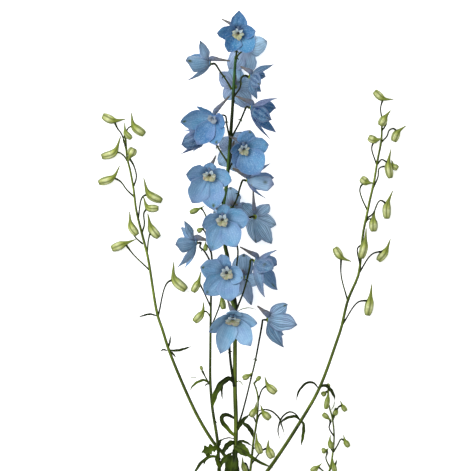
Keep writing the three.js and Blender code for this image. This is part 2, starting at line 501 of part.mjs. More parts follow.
// The middle layer of a sepal: it leaves the disc outwards and bends ahead towards its tip.
function sepalSurface(sepal, axes) {
  const start = new THREE.Vector2(CALYX_RADIUS * 0.6, -0.6);
  const end = new THREE.Vector2(sepal.reach, sepal.ahead);
  const bend = new THREE.Vector2(
    THREE.MathUtils.lerp(start.x, end.x, 0.55),
    THREE.MathUtils.lerp(start.y, end.y, 0.12),
  );
  const profile = new THREE.QuadraticBezierCurve(start, bend, end);
  const breadth = Math.min(SEPAL_BREADTH * end.distanceTo(start), SEPAL_BREADTH_MOST);
  return (u, v) => {
    const point = profile.getPoint(u);
    const width = breadth * Math.pow(Math.max(Math.sin(Math.PI * u), 0), SEPAL_BLUNTNESS);
    const room = v < 0 ? sepal.roomBefore : sepal.roomAfter;
    const free = Math.min(room - SEPAL_PARTING / point.x, SEPAL_SPREAD_MOST);
    const angle = sepal.angle + v * Math.min(width / point.x, Math.max(free, 0));
    const lifted = point.y + SEPAL_TWIST * v * Math.sin(Math.PI * u);
    const place = new THREE.Vector3(point.x * Math.cos(angle), point.x * Math.sin(angle), lifted);
    place.applyMatrix4(axes);
    place.z = Math.max(place.z, LOWEST_LAYER);
    return place;
  };
}

function sepalsAndSpur(bloom, axes) {
  const sepals = sepalPlan(bloom, axes).map((sepal) => (
    blade(sepalSurface(sepal, axes), SEPAL_ROWS, SEPAL_COLUMNS, SEPAL_THICKNESS)));
  const disc = new THREE.CylinderGeometry(CALYX_RADIUS, CALYX_RADIUS * 0.7, CALYX_HEIGHT, CALYX_SIDES);
  disc.rotateX(Math.PI / 2).translate(0, 0, CALYX_FRONT - CALYX_HEIGHT / 2).applyMatrix4(axes);
  const root = new THREE.Vector3(0, 1.9, -0.3).applyMatrix4(axes);
  const shoulder = new THREE.Vector3(0, CALYX_RADIUS + 1.6, -2.6).applyMatrix4(axes);
  const tip = spot(bloom.spur);
  const middle = shoulder.clone().lerp(tip, 0.5);
  const spur = stalk([root, shoulder, middle, tip], SPUR_RADII, 4, 3);
  return joined([toSolid(disc), spur, ...sepals]);
}

// The pale inner petals at the eye: a cup with four lobes.
function bee(axes) {
  const cup = new THREE.CylinderGeometry(1, 1, 1, BEE_SIDES, BEE_HEIGHTS.length - 1);
  const vertices = cup.attributes.position;
  for (let i = 0; i < vertices.count; i += 1) {
    const share = vertices.getY(i) + 0.5;
    const side = Math.atan2(vertices.getX(i), vertices.getZ(i)) / (2 * Math.PI) * BEE_SIDES;
    const onLobe = Math.abs(Math.round(side)) % 2 === 1;
    const radius = along(onLobe ? BEE_LOBE_RADII : BEE_NOTCH_RADII, share);
    const isMiddle = Math.hypot(vertices.getX(i), vertices.getZ(i)) < 0.5;
    const sunk = isMiddle && share > 0.5 ? BEE_HOLLOW : 0;
    const height = along(BEE_HEIGHTS, share) - sunk;
    vertices.setXYZ(i, vertices.getX(i) * radius, height, vertices.getZ(i) * radius);
  }
  cup.rotateX(Math.PI / 2).translate(0, 0, CALYX_FRONT + FIT_GAP).applyMatrix4(axes);
  return toSolid(cup);
}

// A pedicel from its foot inside a stem to the back of the bloom, square to the disc.
function pedicel(bloom, axes) {
  const back = CALYX_FRONT - CALYX_HEIGHT - FIT_GAP;
  const approach = new THREE.Vector3(0, PEDICEL_DROP, back - 3).applyMatrix4(axes);
  const end = new THREE.Vector3(0, PEDICEL_DROP, back).applyMatrix4(axes);
  const points = [...bloom.pedicel.map(spot), approach, end];
  const radii = [PEDICEL_RADIUS * 1.5, PEDICEL_RADIUS, PEDICEL_RADIUS, PEDICEL_RADIUS * 1.3];
  return stalk(points, radii, 3, points.length + 1);
}

// ---- stems, buds and leaves ----------------------------------------------------------------------------

function bud({ nose, neck, spur, stalk: route, girth }) {
  const noseSpot = spot(nose);
  const neckSpot = spot(neck);
  const spurSpot = spot(spur);
  const girths = BUD_SHAPE.map((share) => share * girth);
  const body = stalk([noseSpot, neckSpot, spurSpot], girths, 5, 4);
  const holder = stalk([neckSpot, ...route.map(spot)], [BUD_PEDICEL_RADIUS, BUD_PEDICEL_RADIUS], 3, 2);
  return body.add(holder);
}

function leafLobe({ route, breadth }) {
  const line = new THREE.CatmullRomCurve3(route.map(spot), false, 'centripetal');
  const surface = (u, v) => {
    const share = THREE.MathUtils.clamp(u, 0, 1);
    const heading = line.getTangentAt(share);
    const across = new THREE.Vector3(0, 0, 1).cross(heading).normalize();
    const fold = across.clone().cross(heading);
    const width = 0.5 * breadth * (0.22 + 0.78 * Math.pow(Math.max(Math.sin(Math.PI * share), 0), 0.8));
    const place = line.getPointAt(share);
    const narrowed = share > 0.98 ? 0 : width;
    place.addScaledVector(across, v * narrowed);
    place.addScaledVector(fold, -0.25 * Math.abs(v) * narrowed);
    return place;
  };
  return blade(surface, LEAF_ROWS, 2, LEAF_THICKNESS);
}

// A side stem with all that grows on it, cut back to leave the fit gap round the main stem.
function leafyStem({ route, radii, buds }, leavesAndPedicels) {
  const own = stalk(route.map(spot), radii, SIDE_SIDES, SIDE_STEPS);
  return joined([own, ...buds.map(bud), ...leavesAndPedicels]).subtract(mainClearance);
}

const mainPoints = mainRoute.map(spot);
const clearanceRadii = STEM_RADII.map((radius) => radius + FIT_GAP);
const mainClearance = stalk(mainPoints, clearanceRadii, MAIN_SIDES, MAIN_STEPS);
const sideStems = [leftBranch, innerLeftStem, middleSpray, lowRightSpray, rightBranch];

// ---- the plant -----------------------------------------------------------------------------------------

const plant = new THREE.Group();
const grownOn = {};
for (const name of ['main_stem', ...sideStems.map((stem) => stem.name)]) {
  grownOn[name] = [];
}

blooms.forEach((bloom, i) => {
  const number = String(i + 1).padStart(2, '0');
  const axes = bloomAxes(bloom);
  plant.add(toMesh(`bloom_${number}`, sepalsAndSpur(bloom, axes), petalBlue));
  plant.add(toMesh(`bloom_${number}_bee`, bee(axes), beeCream));
  grownOn[bloom.stem ?? 'main_stem'].push(pedicel(bloom, axes));
});

grownOn.main_stem.push(bud(mainBud));
leaves.forEach(({ stem, lobes }) => grownOn[stem].push(...lobes.map(leafLobe)));

const mainStem = joined([stalk(mainPoints, STEM_RADII, MAIN_SIDES, MAIN_STEPS), ...grownOn.main_stem]);
plant.add(toMesh('main_stem', mainStem, stemGreen));
sideStems.forEach((stem) => plant.add(toMesh(stem.name, leafyStem(stem, grownOn[stem.name]), stemGreen)));

export default plant;
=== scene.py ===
import math
import random

import bpy
import numpy as np
from mathutils import Matrix, Vector


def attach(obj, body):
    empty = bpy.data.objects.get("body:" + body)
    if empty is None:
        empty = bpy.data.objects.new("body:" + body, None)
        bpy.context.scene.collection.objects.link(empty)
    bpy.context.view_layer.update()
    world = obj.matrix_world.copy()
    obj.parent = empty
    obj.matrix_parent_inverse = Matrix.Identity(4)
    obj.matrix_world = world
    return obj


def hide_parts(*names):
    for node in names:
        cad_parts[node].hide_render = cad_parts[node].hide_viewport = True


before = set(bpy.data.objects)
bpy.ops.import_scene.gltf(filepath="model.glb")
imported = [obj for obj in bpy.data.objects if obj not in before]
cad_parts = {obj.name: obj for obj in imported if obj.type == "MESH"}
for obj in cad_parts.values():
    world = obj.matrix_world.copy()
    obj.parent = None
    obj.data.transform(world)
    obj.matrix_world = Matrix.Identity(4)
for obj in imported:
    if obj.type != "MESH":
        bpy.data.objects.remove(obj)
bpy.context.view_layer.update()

# A cut delphinium stem lying face up. Shapes are worked out in millimetres on a layout sheet,
# as (across from its left edge, down from its top edge, height), and put into the meshes in metres.

# each stem: its route, its radii along it, and its buds, each as nose, neck and spur tip, girth, then the
# stalk down to the stem
stems = {
    "main_stem": {
        "route": [(238, 650, 2.8), (236.5, 585, 6.5), (236, 520, 13), (235, 470, 20), (235.6, 444, 23.5),
                  (236, 423, 26), (235, 388, 28), (235, 346, 30), (235, 308, 31), (232, 300, 31),
                  (227.4, 256, 31), (225, 245, 31), (223.6, 203, 31), (226.2, 188, 31), (228.4, 166, 31),
                  (231.2, 128, 30.5), (232.7, 105, 30), (235, 67, 29), (235.8, 57, 28.5)],
        "radii": [2.8, 2.6, 2.35, 2.2, 2.1, 2.05, 1.95, 1.75, 1.35],
        "buds": [
            ((242.6, 378, 30), (249.5, 374.5, 30), (253, 371.5, 30), 3.2,
             [(251, 376, 29.5), (250.6, 379, 28.2)]),
        ],
    },
    "left_branch": {
        "route": [(235, 472, 19.8), (224, 454, 18.5), (215, 444, 17.5), (199.9, 420, 15.5), (188.6, 397, 14),
                  (169, 350, 12), (162.7, 330, 11.5), (157.4, 314, 11), (147.8, 256.5, 9), (142, 233.6, 8.5),
                  (136.3, 210, 8), (133.5, 188, 7.5), (129.3, 166, 7), (127.5, 159.6, 7), (125, 130, 6)],
        "radii": [1.75, 1.65, 1.5, 1.35, 1.15, 1.0],
        "buds": [
            ((102.5, 115.5, 5), (114, 120.5, 5), (126, 119, 6), 4.6,
             [(117.2, 128, 5), (121.8, 134.5, 5.4), (126.3, 150, 6.6)]),
            ((144.5, 134.5, 6), (134, 126, 7), (131.4, 112.6, 8), 4.5, [(129, 127.5, 7), (125.2, 134, 6.3)]),
            ((131.5, 139, 12), (126, 133, 12.5), (124.7, 123, 13), 3.2,
             [(123.5, 140, 11), (125.9, 146, 6.7)]),
            ((101.5, 157, 5), (114, 152.6, 5), (121, 136, 7), 4.3,
             [(119.5, 152.8, 5.5), (124.5, 156.5, 6), (127.4, 161, 7)]),
            ((134, 148.3, 14), (129.5, 158.3, 13), (128.3, 162, 13), 4.9,
             [(134, 166, 12), (136.5, 177, 10), (133.4, 187, 7.4)]),
            ((98.5, 183, 4.8), (113, 177.5, 5.3), (119.8, 166, 8), 4.4,
             [(120.5, 181.5, 6), (127, 190, 7), (134.4, 197, 7.6)]),
            ((162, 201, 6), (149, 194, 7), (143.7, 178, 9), 4.4, [(142.5, 197, 8), (138.2, 219, 8.2)]),
            ((158.8, 208.5, 13), (148, 207.5, 13), (143.4, 196.5, 14), 4,
             [(144, 213, 11), (144.5, 224, 10), (142, 233, 8.4)]),
            ((137.5, 235, 15.5), (131.5, 226.5, 15), (129.7, 211.6, 15), 4.3,
             [(134.5, 236, 11.5), (142.9, 244, 8.8)]),
            ((159, 237.5, 6), (151.5, 228.5, 6), (147.8, 213.5, 9), 4.5, [(148.5, 240, 7), (147.2, 254, 9)]),
            ((111.5, 249, 5), (125, 243.5, 5), (136, 239.3, 7), 4.6, [(133, 254, 6), (149.5, 270, 9.3)]),
            ((186, 290, 6), (174.5, 279, 7), (173.7, 262, 9), 5, [(167, 283, 9), (158, 317, 11)]),
        ],
    },
    "inner_left_stem": {
        "route": [(236, 524, 12.8), (226, 496, 17), (219.8, 471, 21), (217.5, 440, 23), (212.5, 408, 23),
                  (210.4, 382, 23), (210.4, 350, 23), (211, 300, 23), (211.8, 256, 24), (206.5, 233, 26),
                  (207, 217, 26)],
        "radii": [1.8, 1.6, 1.4, 1.1, 0.8],
        "buds": [
            ((190, 212.8, 30), (201, 208, 29), (204.5, 206, 29), 3, [(204, 212, 28), (206.9, 218.5, 26)]),
            ((197.6, 231.5, 30), (202.5, 228.5, 29), (205, 227.5, 29), 2.8,
             [(205, 232, 28), (206.9, 237, 25.6)]),
            ((206, 250.5, 33), (205.4, 244.6, 31), (206, 241, 30), 2.3,
             [(208.5, 247, 28), (211, 252, 24.3)]),
            ((193, 292, 26), (198.6, 281.5, 26), (201, 271.5, 27), 4, [(203, 290, 25), (210.9, 307, 22.9)]),
            ((194.5, 322, 20), (202.8, 311.5, 20), (203.6, 302, 21), 4.2,
             [(206.5, 311.5, 21), (210.8, 317, 22.7)]),
            ((223.8, 309, 24), (222, 298, 24), (222, 290, 24), 3.2, [(218, 310, 22), (210.7, 328, 22.4)]),
            ((200.6, 365.5, 26), (202.3, 370.5, 25.5), (203, 373, 25), 1.8,
             [(206.5, 378.5, 24.5), (210.4, 385, 23)]),
        ],
    },
    "middle_spray": {
        "route": [(236.2, 532, 11.8), (241, 508, 18), (250, 471, 24), (253.4, 440.7, 26), (256, 425, 27),
                  (258, 399, 28), (256, 388, 28), (253.5, 382, 28)],
        "radii": [1.4, 1.3, 1.1, 0.8],
        "buds": [
            ((276, 392.5, 27), (267.5, 384.5, 27), (264.7, 376.5, 28), 4.4,
             [(262, 389, 27), (257.9, 401, 27.9)]),
            ((260.5, 376, 30), (256, 380.5, 29), (253.5, 383, 28.5), 2.3,
             [(254.5, 383, 28.5), (256, 388, 28)]),
            ((250.3, 416, 30), (255, 409, 31), (256.5, 401.5, 32), 3.5,
             [(253, 414, 29), (256.2, 422, 27.2)]),
            ((270, 418.5, 29), (263.2, 411.5, 29), (260.6, 404.5, 30), 3.9,
             [(259.5, 414, 28), (255.6, 427, 27)]),
            ((260.8, 453, 30), (256.7, 441.5, 31), (256.5, 432.5, 32), 3.8,
             [(257, 446, 28), (253, 448, 25.3)]),
            ((272.5, 457.5, 26), (268, 447, 26), (268.5, 439.5, 27), 4.4,
             [(262, 450, 25), (251.5, 463, 25)]),
            ((246, 471.5, 26), (243, 463, 26), (242.5, 456.5, 27), 3, [(246, 463, 24), (249.6, 474, 23.7)]),
        ],
    },
    "low_right_spray": {
        "route": [(237.2, 600, 5.6), (262, 560, 6), (295, 520, 6), (318, 492, 6), (329, 471, 6),
                  (333, 451, 6), (334, 434, 6), (332, 416.6, 6), (328.5, 404, 6), (328, 388, 6)],
        "radii": [1.5, 1.3, 1.1, 0.9, 0.75],
        "buds": [
            ((321.5, 395, 7), (326, 392, 7), (328, 390, 6.5), 2.9, [(327, 391, 6.5), (328.2, 394, 6)]),
            ((326.5, 384, 9), (329, 387, 8.5), (330.5, 390, 8), 2.6, [(329, 389, 8), (328.2, 391, 6)]),
            ((325.8, 409, 9), (328, 396, 8.5), (328.5, 387, 7.5), 2.9, [(327, 398, 8), (329.2, 406.5, 6)]),
            ((322.6, 413.6, 7), (329.8, 419.5, 7), (332, 421.5, 8), 2.9,
             [(330.3, 422, 6.5), (329, 427, 6.5), (331, 432, 6.3), (334, 436, 6)]),
            ((334, 415.3, 4.5), (337, 409.6, 4.5), (338.3, 406, 5), 2.8,
             [(335.8, 408.5, 5), (333.5, 413, 5), (332.3, 418, 6)]),
            ((346, 411, 4.5), (342.2, 405, 5), (340.2, 400.5, 6), 2.8, [(338.5, 407, 5), (332.6, 420, 6)]),
            ((331.8, 448.5, 8.5), (329.8, 441, 9), (330.3, 434.5, 10), 3, [(329, 444, 8), (333.2, 452, 6)]),
            ((348.8, 446.8, 5), (345, 440.5, 6), (343.3, 434.5, 7), 3,
             [(341, 439, 6), (337.5, 445, 6), (333.2, 452, 6)]),
            ((321.6, 451, 5), (326.6, 449.8, 5), (328.3, 448, 5.5), 3.1,
             [(327, 453, 5), (325.8, 458, 5), (329.6, 467, 6)]),
            ((311, 471.5, 5), (318, 466.5, 5), (322, 463, 6), 3.3, [(322, 470, 5.5), (327.5, 475, 6)]),
            ((335, 472.5, 9), (333.3, 464, 9), (332.5, 457, 10), 2.8, [(331, 468, 8), (328, 473.5, 6)]),
        ],
    },
    "right_branch": {
        "route": [(236, 508, 14.6), (267, 471, 15.5), (300.8, 420.4, 14.5), (319.2, 388, 13.5),
                  (337, 340, 12), (341, 328, 11.5), (347.8, 300, 10.5), (358.3, 275, 9.5), (360.2, 262, 9),
                  (363, 233, 8.5), (366.9, 214, 8), (369.8, 200, 8), (373.7, 183, 7.5), (377.5, 160, 7),
                  (381.3, 140, 6.5), (381.7, 118, 6)],
        "radii": [1.95, 1.8, 1.55, 1.4, 1.25, 1.0],
        "buds": [
            ((374.3, 91.2, 4.3), (383, 98.5, 4.6), (393.5, 99.5, 6), 4.1,
             [(380.5, 108, 5), (381.8, 119, 6)]),
            ((380, 126, 12), (385.3, 117, 12), (390.5, 110.5, 13), 4.5, [(386, 124, 10), (381.6, 131, 6.2)]),
            ((393.5, 141.5, 5), (397.5, 132.5, 6), (406, 125.7, 7), 4.2,
             [(393.5, 128.6, 7), (389, 130.5, 6.5), (387, 136, 6), (381.4, 142, 6.5)]),
            ((368.3, 137.5, 5), (374.5, 140, 6), (382.5, 138.5, 11), 4.3,
             [(371.6, 148, 6), (376.6, 165, 7.1)]),
            ((390.3, 178.3, 5), (388.3, 164, 6), (391, 149, 7), 4.2,
             [(386.3, 162, 7), (381.4, 159.6, 7), (377.2, 164.5, 7)]),
            ((397.8, 168.8, 3.8), (393.5, 166, 3.8), (391.5, 160, 4), 3.5,
             [(386, 166.3, 3), (379.3, 168, 5), (377.8, 177.4, 6.5), (373, 188, 7.6)]),
            ((361, 178, 5), (366.3, 182, 6), (373, 183.3, 11), 4.5,
             [(361.5, 185, 6), (359.7, 190, 6), (361.6, 198, 6.5), (367.4, 210.5, 8)]),
            ((386.8, 218.8, 4.4), (386.9, 206, 5), (392.7, 190.5, 8), 4.4,
             [(384, 202, 7), (380, 200.4, 8), (377.2, 204, 8), (373, 213.5, 8), (366.4, 218.5, 8.2)]),
            ((373.5, 231.5, 5), (373.2, 219.5, 6), (374.8, 209, 8), 4.6,
             [(368.5, 219, 8), (365.2, 223, 8.3)]),
            ((360.8, 258.5, 17), (364.6, 243.5, 17), (366, 228, 17), 4.4,
             [(357.5, 248, 14), (360, 265, 9.1)]),
            ((334.8, 247.5, 5), (341, 257, 6), (351.2, 261.5, 8), 4.3, [(341, 275, 7), (347.6, 301, 10.5)]),
            ((378, 261, 4.6), (385.7, 251, 5), (390.3, 239, 8), 4.4, [(372, 254, 9), (358.9, 273, 9.5)]),
            ((367.4, 315.5, 6), (370, 300.5, 7), (371.7, 284, 8), 4.7, [(358, 302, 9), (342, 325, 11.4)]),
        ],
    },
}

# each bloom: its eye, the way it faces as turn and lift in degrees, its spur's tip, its sepals' tips and its
# pedicel up from the stem
blooms = [
    {"eye": (238.2, 33.6, 43), "faces": (-90, 76), "spur": (222, 20, 36),
     "tips": [(239.2, 11.6, 50), (255.6, 32.5, 52), (252.8, 53, 50), (228, 53.4, 50), (217, 34.5, 51)],
     "pedicel": [(235.6, 60, 28.8), (237, 49, 30)]},
    {"eye": (246, 49, 12), "faces": (-70, -84), "spur": (239, 43, 24),
     "tips": [(229, 37, 0.5), (229.3, 71, 0.5), (251, 73, 0.5), (267.3, 41.5, 2), (249.5, 28, 3)],
     "pedicel": [(234.8, 70, 28.8), (235.9, 62, 25.4), (238.2, 55.5, 23.5)]},
    {"eye": (209, 64.5, 31), "faces": (191, 6), "spur": (230, 61.5, 35),
     "tips": [(199.3, 41.3, 32), (184.8, 62, 46), (184.8, 82, 38), (192.5, 65, 14), (189, 57, 15)],
     "pedicel": [(231.7, 90, 30), (226.5, 81, 30), (220.5, 72.5, 30.5)]},
    {"eye": (250.5, 77.5, 29), "faces": (-24, -12), "spur": (240.5, 67, 26),
     "tips": [(274.8, 65.2, 27), (266.5, 77, 12), (262, 92, 13), (258.3, 101, 32), (261, 86, 45)],
     "pedicel": [(233, 98, 30), (240, 88, 29.5), (241.5, 78, 29.5)]},
    {"eye": (234.5, 87, 11), "faces": (-80, -86), "spur": (236, 76, 22),
     "tips": [(219.5, 72, 0.5), (224, 99, 0.5), (249.5, 107.5, 0.5), (255, 84, 0.5), (236, 66, 0.5)],
     "pedicel": [(232.4, 108, 30), (234, 97, 24)]},
    {"eye": (252, 108.8, 32), "faces": (-26, 8), "spur": (235.5, 96.5, 35),
     "tips": [(278.9, 99.2, 34), (277, 109, 18), (276.5, 133, 22), (271.3, 140.5, 40), (272, 121, 50)],
     "pedicel": [(230.8, 139, 30.7), (239, 124, 31), (243.6, 113.5, 31.5)]},
    {"eye": (214.5, 118, 44), "faces": (-140, 60), "spur": (229.5, 96.5, 37),
     "tips": [(196.5, 107.3, 49), (225, 125, 58), (216, 146.5, 57), (197, 146, 53), (180, 123.3, 50)],
     "pedicel": [(230.6, 142, 30.7), (227, 126, 34), (225, 116, 37)]},
    {"eye": (206, 136, 27), "faces": (-170, -38), "spur": (219, 128, 33),
     "tips": [(186, 122, 22), (180.5, 145, 34), (179.5, 155, 26), (192, 152, 8), (181, 130, 7)],
     "pedicel": [(228.7, 164, 31), (222, 154, 30), (215, 143, 29)]},
    {"eye": (243.3, 148.5, 45), "faces": (-60, 68), "spur": (228.6, 136.3, 40),
     "tips": [(250.5, 131, 47), (268.8, 145.3, 50), (259, 175.5, 57), (235.5, 168.5, 51),
              (230.8, 152.5, 52)],
     "pedicel": [(228.6, 170, 31), (233, 162, 36), (239, 154, 38)]},
    {"eye": (233, 151, 12), "faces": (-90, -86), "spur": (234, 141, 17),
     "tips": [(221.5, 137.5, 0.5), (219, 165, 0.5), (237, 172, 0.5), (252, 157, 0.5), (243, 132, 0.5)],
     "pedicel": [(228.3, 172, 31), (230, 162, 23)]},
    {"eye": (209.8, 174.5, 44), "faces": (-95, 70), "spur": (216, 156, 37),
     "tips": [(210, 163, 47), (231.8, 181.5, 51), (214, 210.5, 53), (192, 203.5, 54), (186.2, 175, 51)],
     "pedicel": [(224, 206, 31), (219, 194, 34), (212, 182, 37)]},
    {"eye": (248.6, 180.9, 31), "faces": (-16, 4), "spur": (232.6, 168.6, 34), "spurGirth": 1.4,
     "tips": [(271.3, 163.8, 33), (274.8, 178, 16), (269.5, 190.3, 16), (266.5, 199, 38),
              (274.5, 184.5, 45)],
     "pedicel": [(223.9, 220, 31), (236, 201, 31), (240.5, 186, 31)]},
    {"eye": (232, 208, 12), "faces": (-90, -86), "spur": (237.5, 205, 20),
     "tips": [(230.5, 186.8, 0.5), (213, 213, 0.5), (222, 231, 0.5), (243, 226, 0.5), (251, 208, 0.5)],
     "pedicel": [(223.9, 230, 31), (227, 219, 22)]},
    {"eye": (222.4, 218.8, 45), "faces": (-90, 72), "spur": (214, 206, 38),
     "tips": [(225.5, 204.3, 49), (249.5, 219.2, 52), (236.5, 247.3, 54), (211.5, 251.3, 54),
              (202, 226.2, 52)],
     "pedicel": [(234.2, 305, 31), (236.5, 268, 35), (237.5, 247, 36), (229, 229, 37)]},
    {"eye": (255, 217, 17), "faces": (-30, -64), "spur": (252.8, 188, 26), "spurGirth": 0.8,
     "tips": [(242.5, 203.8, 9), (256.5, 243.5, 1), (272, 244.3, 8), (276.7, 225.5, 2), (269.7, 204.3, 6)],
     "pedicel": [(224.6, 238, 31), (234, 230, 27), (244, 220, 24)]},
    {"eye": (195.5, 243, 30), "faces": (194, 4), "spur": (208.5, 240.5, 33), "spurGirth": 1.25,
     "stem": "inner_left_stem",
     "tips": [(184, 220.5, 31), (174.5, 245, 44), (176, 268, 36), (183.5, 268.5, 16), (180.5, 228.5, 18)],
     "pedicel": [(211.4, 264, 23.9), (207.5, 256, 27), (203.5, 250, 28.5), (200, 247, 29)]},
    {"eye": (256, 261.5, 33), "faces": (-36, 8), "spur": (240, 246.8, 37),
     "tips": [(277.3, 250.3, 30), (277.5, 265, 14), (278.5, 290.5, 19), (265.3, 297.5, 40), (274, 270, 53)],
     "pedicel": [(235, 313, 31), (244, 290, 31), (249.5, 268, 32)]},
    {"eye": (226.6, 271.9, 45), "faces": (-90, 78), "spur": (226, 258, 38),
     "tips": [(221, 254.3, 50), (243.4, 278.5, 52), (230, 301.3, 53), (205.3, 294.7, 53), (200.3, 267, 52)],
     "pedicel": [(235, 330, 30.5), (236.5, 304, 36), (231, 284, 38)]},
    {"eye": (242.5, 277, 12), "faces": (-80, -86), "spur": (235.5, 271, 20),
     "tips": [(244, 253.5, 0.5), (221.5, 272, 0.5), (231, 297, 0.5), (251.5, 305.5, 0.5), (259, 282.5, 0.5)],
     "pedicel": [(235.2, 319, 31), (234.5, 300, 24), (238, 285, 20)]},
    {"eye": (232.8, 317, 43), "faces": (-90, 48), "spur": (227.5, 300, 34), "stout": 1.5,
     "tips": [(236.5, 311, 54), (257.3, 323.3, 52), (250.7, 346.5, 49), (220.2, 353.7, 49),
              (208.8, 332, 51)],
     "pedicel": [(234.6, 386, 28.6), (230.6, 362, 31), (229.5, 334, 35)]},
    {"eye": (268.5, 319.5, 30), "faces": (-18, -14), "spur": (257.3, 305.8, 28), "spurGirth": 1.2,
     "stout": 0.95,
     "tips": [(288.5, 304.3, 29), (290, 320, 12), (285, 335, 13), (284.7, 347.5, 30), (297.7, 324.5, 42)],
     "pedicel": [(236, 430, 25.2), (241.5, 415, 25.5), (251.5, 376, 28), (255.3, 360, 30),
                 (261.5, 327, 30)]},
]

# the leaf lobes on each stem: each lobe's midline, breadth and paleness, and where it differs, how far along
# it is widest and how deep its teeth are
leaves = {
    "main_stem": [
        ([(235, 383, 28), (229, 378, 33), (221.6, 383, 35), (215.3, 394, 34), (212, 412, 29)],
         5.9, (-0.8, -0.6, 0.0, 0.5, 0.3)),
        ([(226.5, 379.5, 34), (223, 384, 33.5), (221.8, 391, 32), (222.8, 401, 29)], 2, -0.2),
        ([(235, 383, 28), (239, 380.5, 31), (244.5, 386, 31)], 1, 0.6),
        ([(236.5, 311.5, 31), (243, 308.4, 33), (250, 307.6, 33), (257.5, 309.8, 32)], 0.8, 1.0),
        ([(236, 419, 26), (228.5, 414.4, 30), (223.2, 414.8, 31), (221.3, 417.4, 31), (222.6, 421.4, 30.6),
          (228, 428.4, 29), (235.2, 436, 26), (240, 441, 21.5)], 4.4, (-0.6, -0.5, 0.2, 0.9, 0.7)),
        ([(236.5, 431, 25), (239.5, 424.5, 29), (243.5, 419, 31), (251, 412.6, 33)], 4.2, -0.35),
        ([(237.5, 426, 27), (242, 422.4, 31), (248, 426, 33), (251.3, 430.5, 33), (253.4, 439, 31)],
         4.4, -0.55, 0.6),
        ([(236, 444.5, 25), (241, 448, 29), (246, 452, 31), (251.5, 456.5, 32)],
         11, (0.2, 0.6, 0.4), 0.3, 0.06),
        ([(238, 447, 28), (246, 452.4, 31.4), (259, 461, 32), (276, 468.5, 29)], 3.6, 0.2, 0.3, 0.05),
        ([(236.5, 441.5, 25), (242, 440.3, 30), (247, 442, 32), (253, 446, 31)], 2.6, -0.2),
        ([(236, 442, 24), (230, 442.6, 29), (225, 448, 31), (222.5, 456, 30)], 5.4, -0.1),
        ([(235.6, 438.5, 24), (228.5, 437.2, 27), (222.5, 439, 28), (218.5, 443, 28), (214.5, 446, 28)],
         1.2, -0.8),
        ([(221.6, 438.6, 27), (219.6, 441.5, 28.5), (218.6, 447.5, 28)], 3.4, -0.6, 0.5, 0.2),
        ([(221, 449, 26), (214, 447.6, 27.5), (207, 449.6, 28), (200.6, 452.6, 26)], 8.8, 0.25, 0.6, 0.36),
        ([(213, 446.5, 27.3), (209, 451.5, 27.6), (206.4, 457.5, 26)], 4.8, 0.3, 0.5, 0.34),
        ([(222, 459, 25), (214, 455.5, 27), (208, 457, 27), (200.5, 463, 24), (195.5, 471, 20),
          (191.5, 481, 16)], 3.3, 0.1),
        ([(207, 458, 26.5), (205, 461, 26), (203.4, 465.5, 25)], 1.5, -0.1),
        ([(232, 452, 23.5), (224, 459, 25), (219.5, 466, 24), (216.5, 473, 22)], 4.6, 0.2),
        ([(218.5, 452, 25.5), (217, 458, 26), (219, 465, 25.5), (221, 474, 24)], 4.2, 0.3),
        ([(235.6, 447, 23), (233.6, 451, 29), (232.5, 456, 32)], 3, -0.2),
        ([(232.6, 454.6, 32), (231.8, 461, 34), (230.6, 470, 34), (228.6, 482, 30), (226, 494, 25)],
         13, 0.0, 0.22, 0.06),
        ([(235.6, 447, 23), (235, 453, 32), (237, 468, 33), (239, 483, 28)], 5, -0.4),
    ],
    "inner_left_stem": [
        ([(210.4, 384, 23), (205, 379.8, 25), (198, 381.5, 26), (192.5, 386, 25), (189.3, 392, 24)],
         2.7, 0.5),
        ([(209.5, 384, 23), (207, 383.6, 24.5), (204.6, 386.5, 24.5)], 1.5, -0.3),
        ([(197.5, 378, 25.5), (194, 376.8, 26), (188.5, 378.2, 25)], 0.7, 0.5),
        ([(213.4, 413, 23.6), (215, 419.5, 25), (218.4, 424, 24.5)], 1.1, -0.5),
    ],
    "middle_spray": [
        ([(257.2, 411, 27.6), (263.5, 409, 24), (271, 410.5, 23), (278.5, 417, 22), (282.6, 428, 21),
          (285.6, 439, 20)], 1.7, -0.6),
    ],
    "left_branch": [
        ([(157.6, 316, 11), (150, 314, 13), (136.5, 317.8, 11)], 2.1, -0.8),
        ([(168.5, 350, 12), (178, 350.2, 14), (193.5, 345.6, 12)], 2.6, -0.4),
        ([(168.5, 350, 12), (172.5, 353, 14), (176.5, 358, 13)], 2, -0.6),
        ([(168, 349, 12), (170, 341.5, 14), (170.5, 334, 14)], 1.9, -0.5),
        ([(167.5, 350.5, 12), (163, 349.5, 14), (160, 352, 13)], 1.8, -0.6),
    ],
    "right_branch": [
        ([(318.6, 388.5, 14), (314, 383, 18), (308, 382, 18.5), (301, 387.5, 18), (297.5, 394, 16),
          (296, 404, 14)], 2.5, -0.8),
        ([(319, 387.5, 14), (325, 385, 17), (330, 389, 17.5), (334, 396, 16), (334.8, 402, 14)], 3.5, -0.6),
        ([(334.6, 401, 14.2), (333.4, 406, 12.5), (330, 411, 11)], 0.7, 0.2),
        ([(300.5, 421, 14.5), (296, 414, 18.5), (290, 411.5, 19.5), (284, 414.5, 19.5), (279.5, 422, 19),
          (278, 431, 18), (281.5, 444, 15)], 1.7, -0.7),
        ([(300.5, 421, 14.5), (296.5, 416.5, 17.5), (290, 416.5, 18), (283, 420, 17), (278.8, 426.5, 16)],
         2.9, -0.3),
        ([(300.5, 419, 14.5), (303.4, 424, 18), (303, 434, 17.5), (300.4, 448, 13)], 3.2, 0.1),
    ],
    "low_right_spray": [
        ([(331.5, 462, 6), (333.5, 467, 8), (336, 462, 9.5), (336.4, 458, 9.5)], 2.4, 0.0),
    ],
}

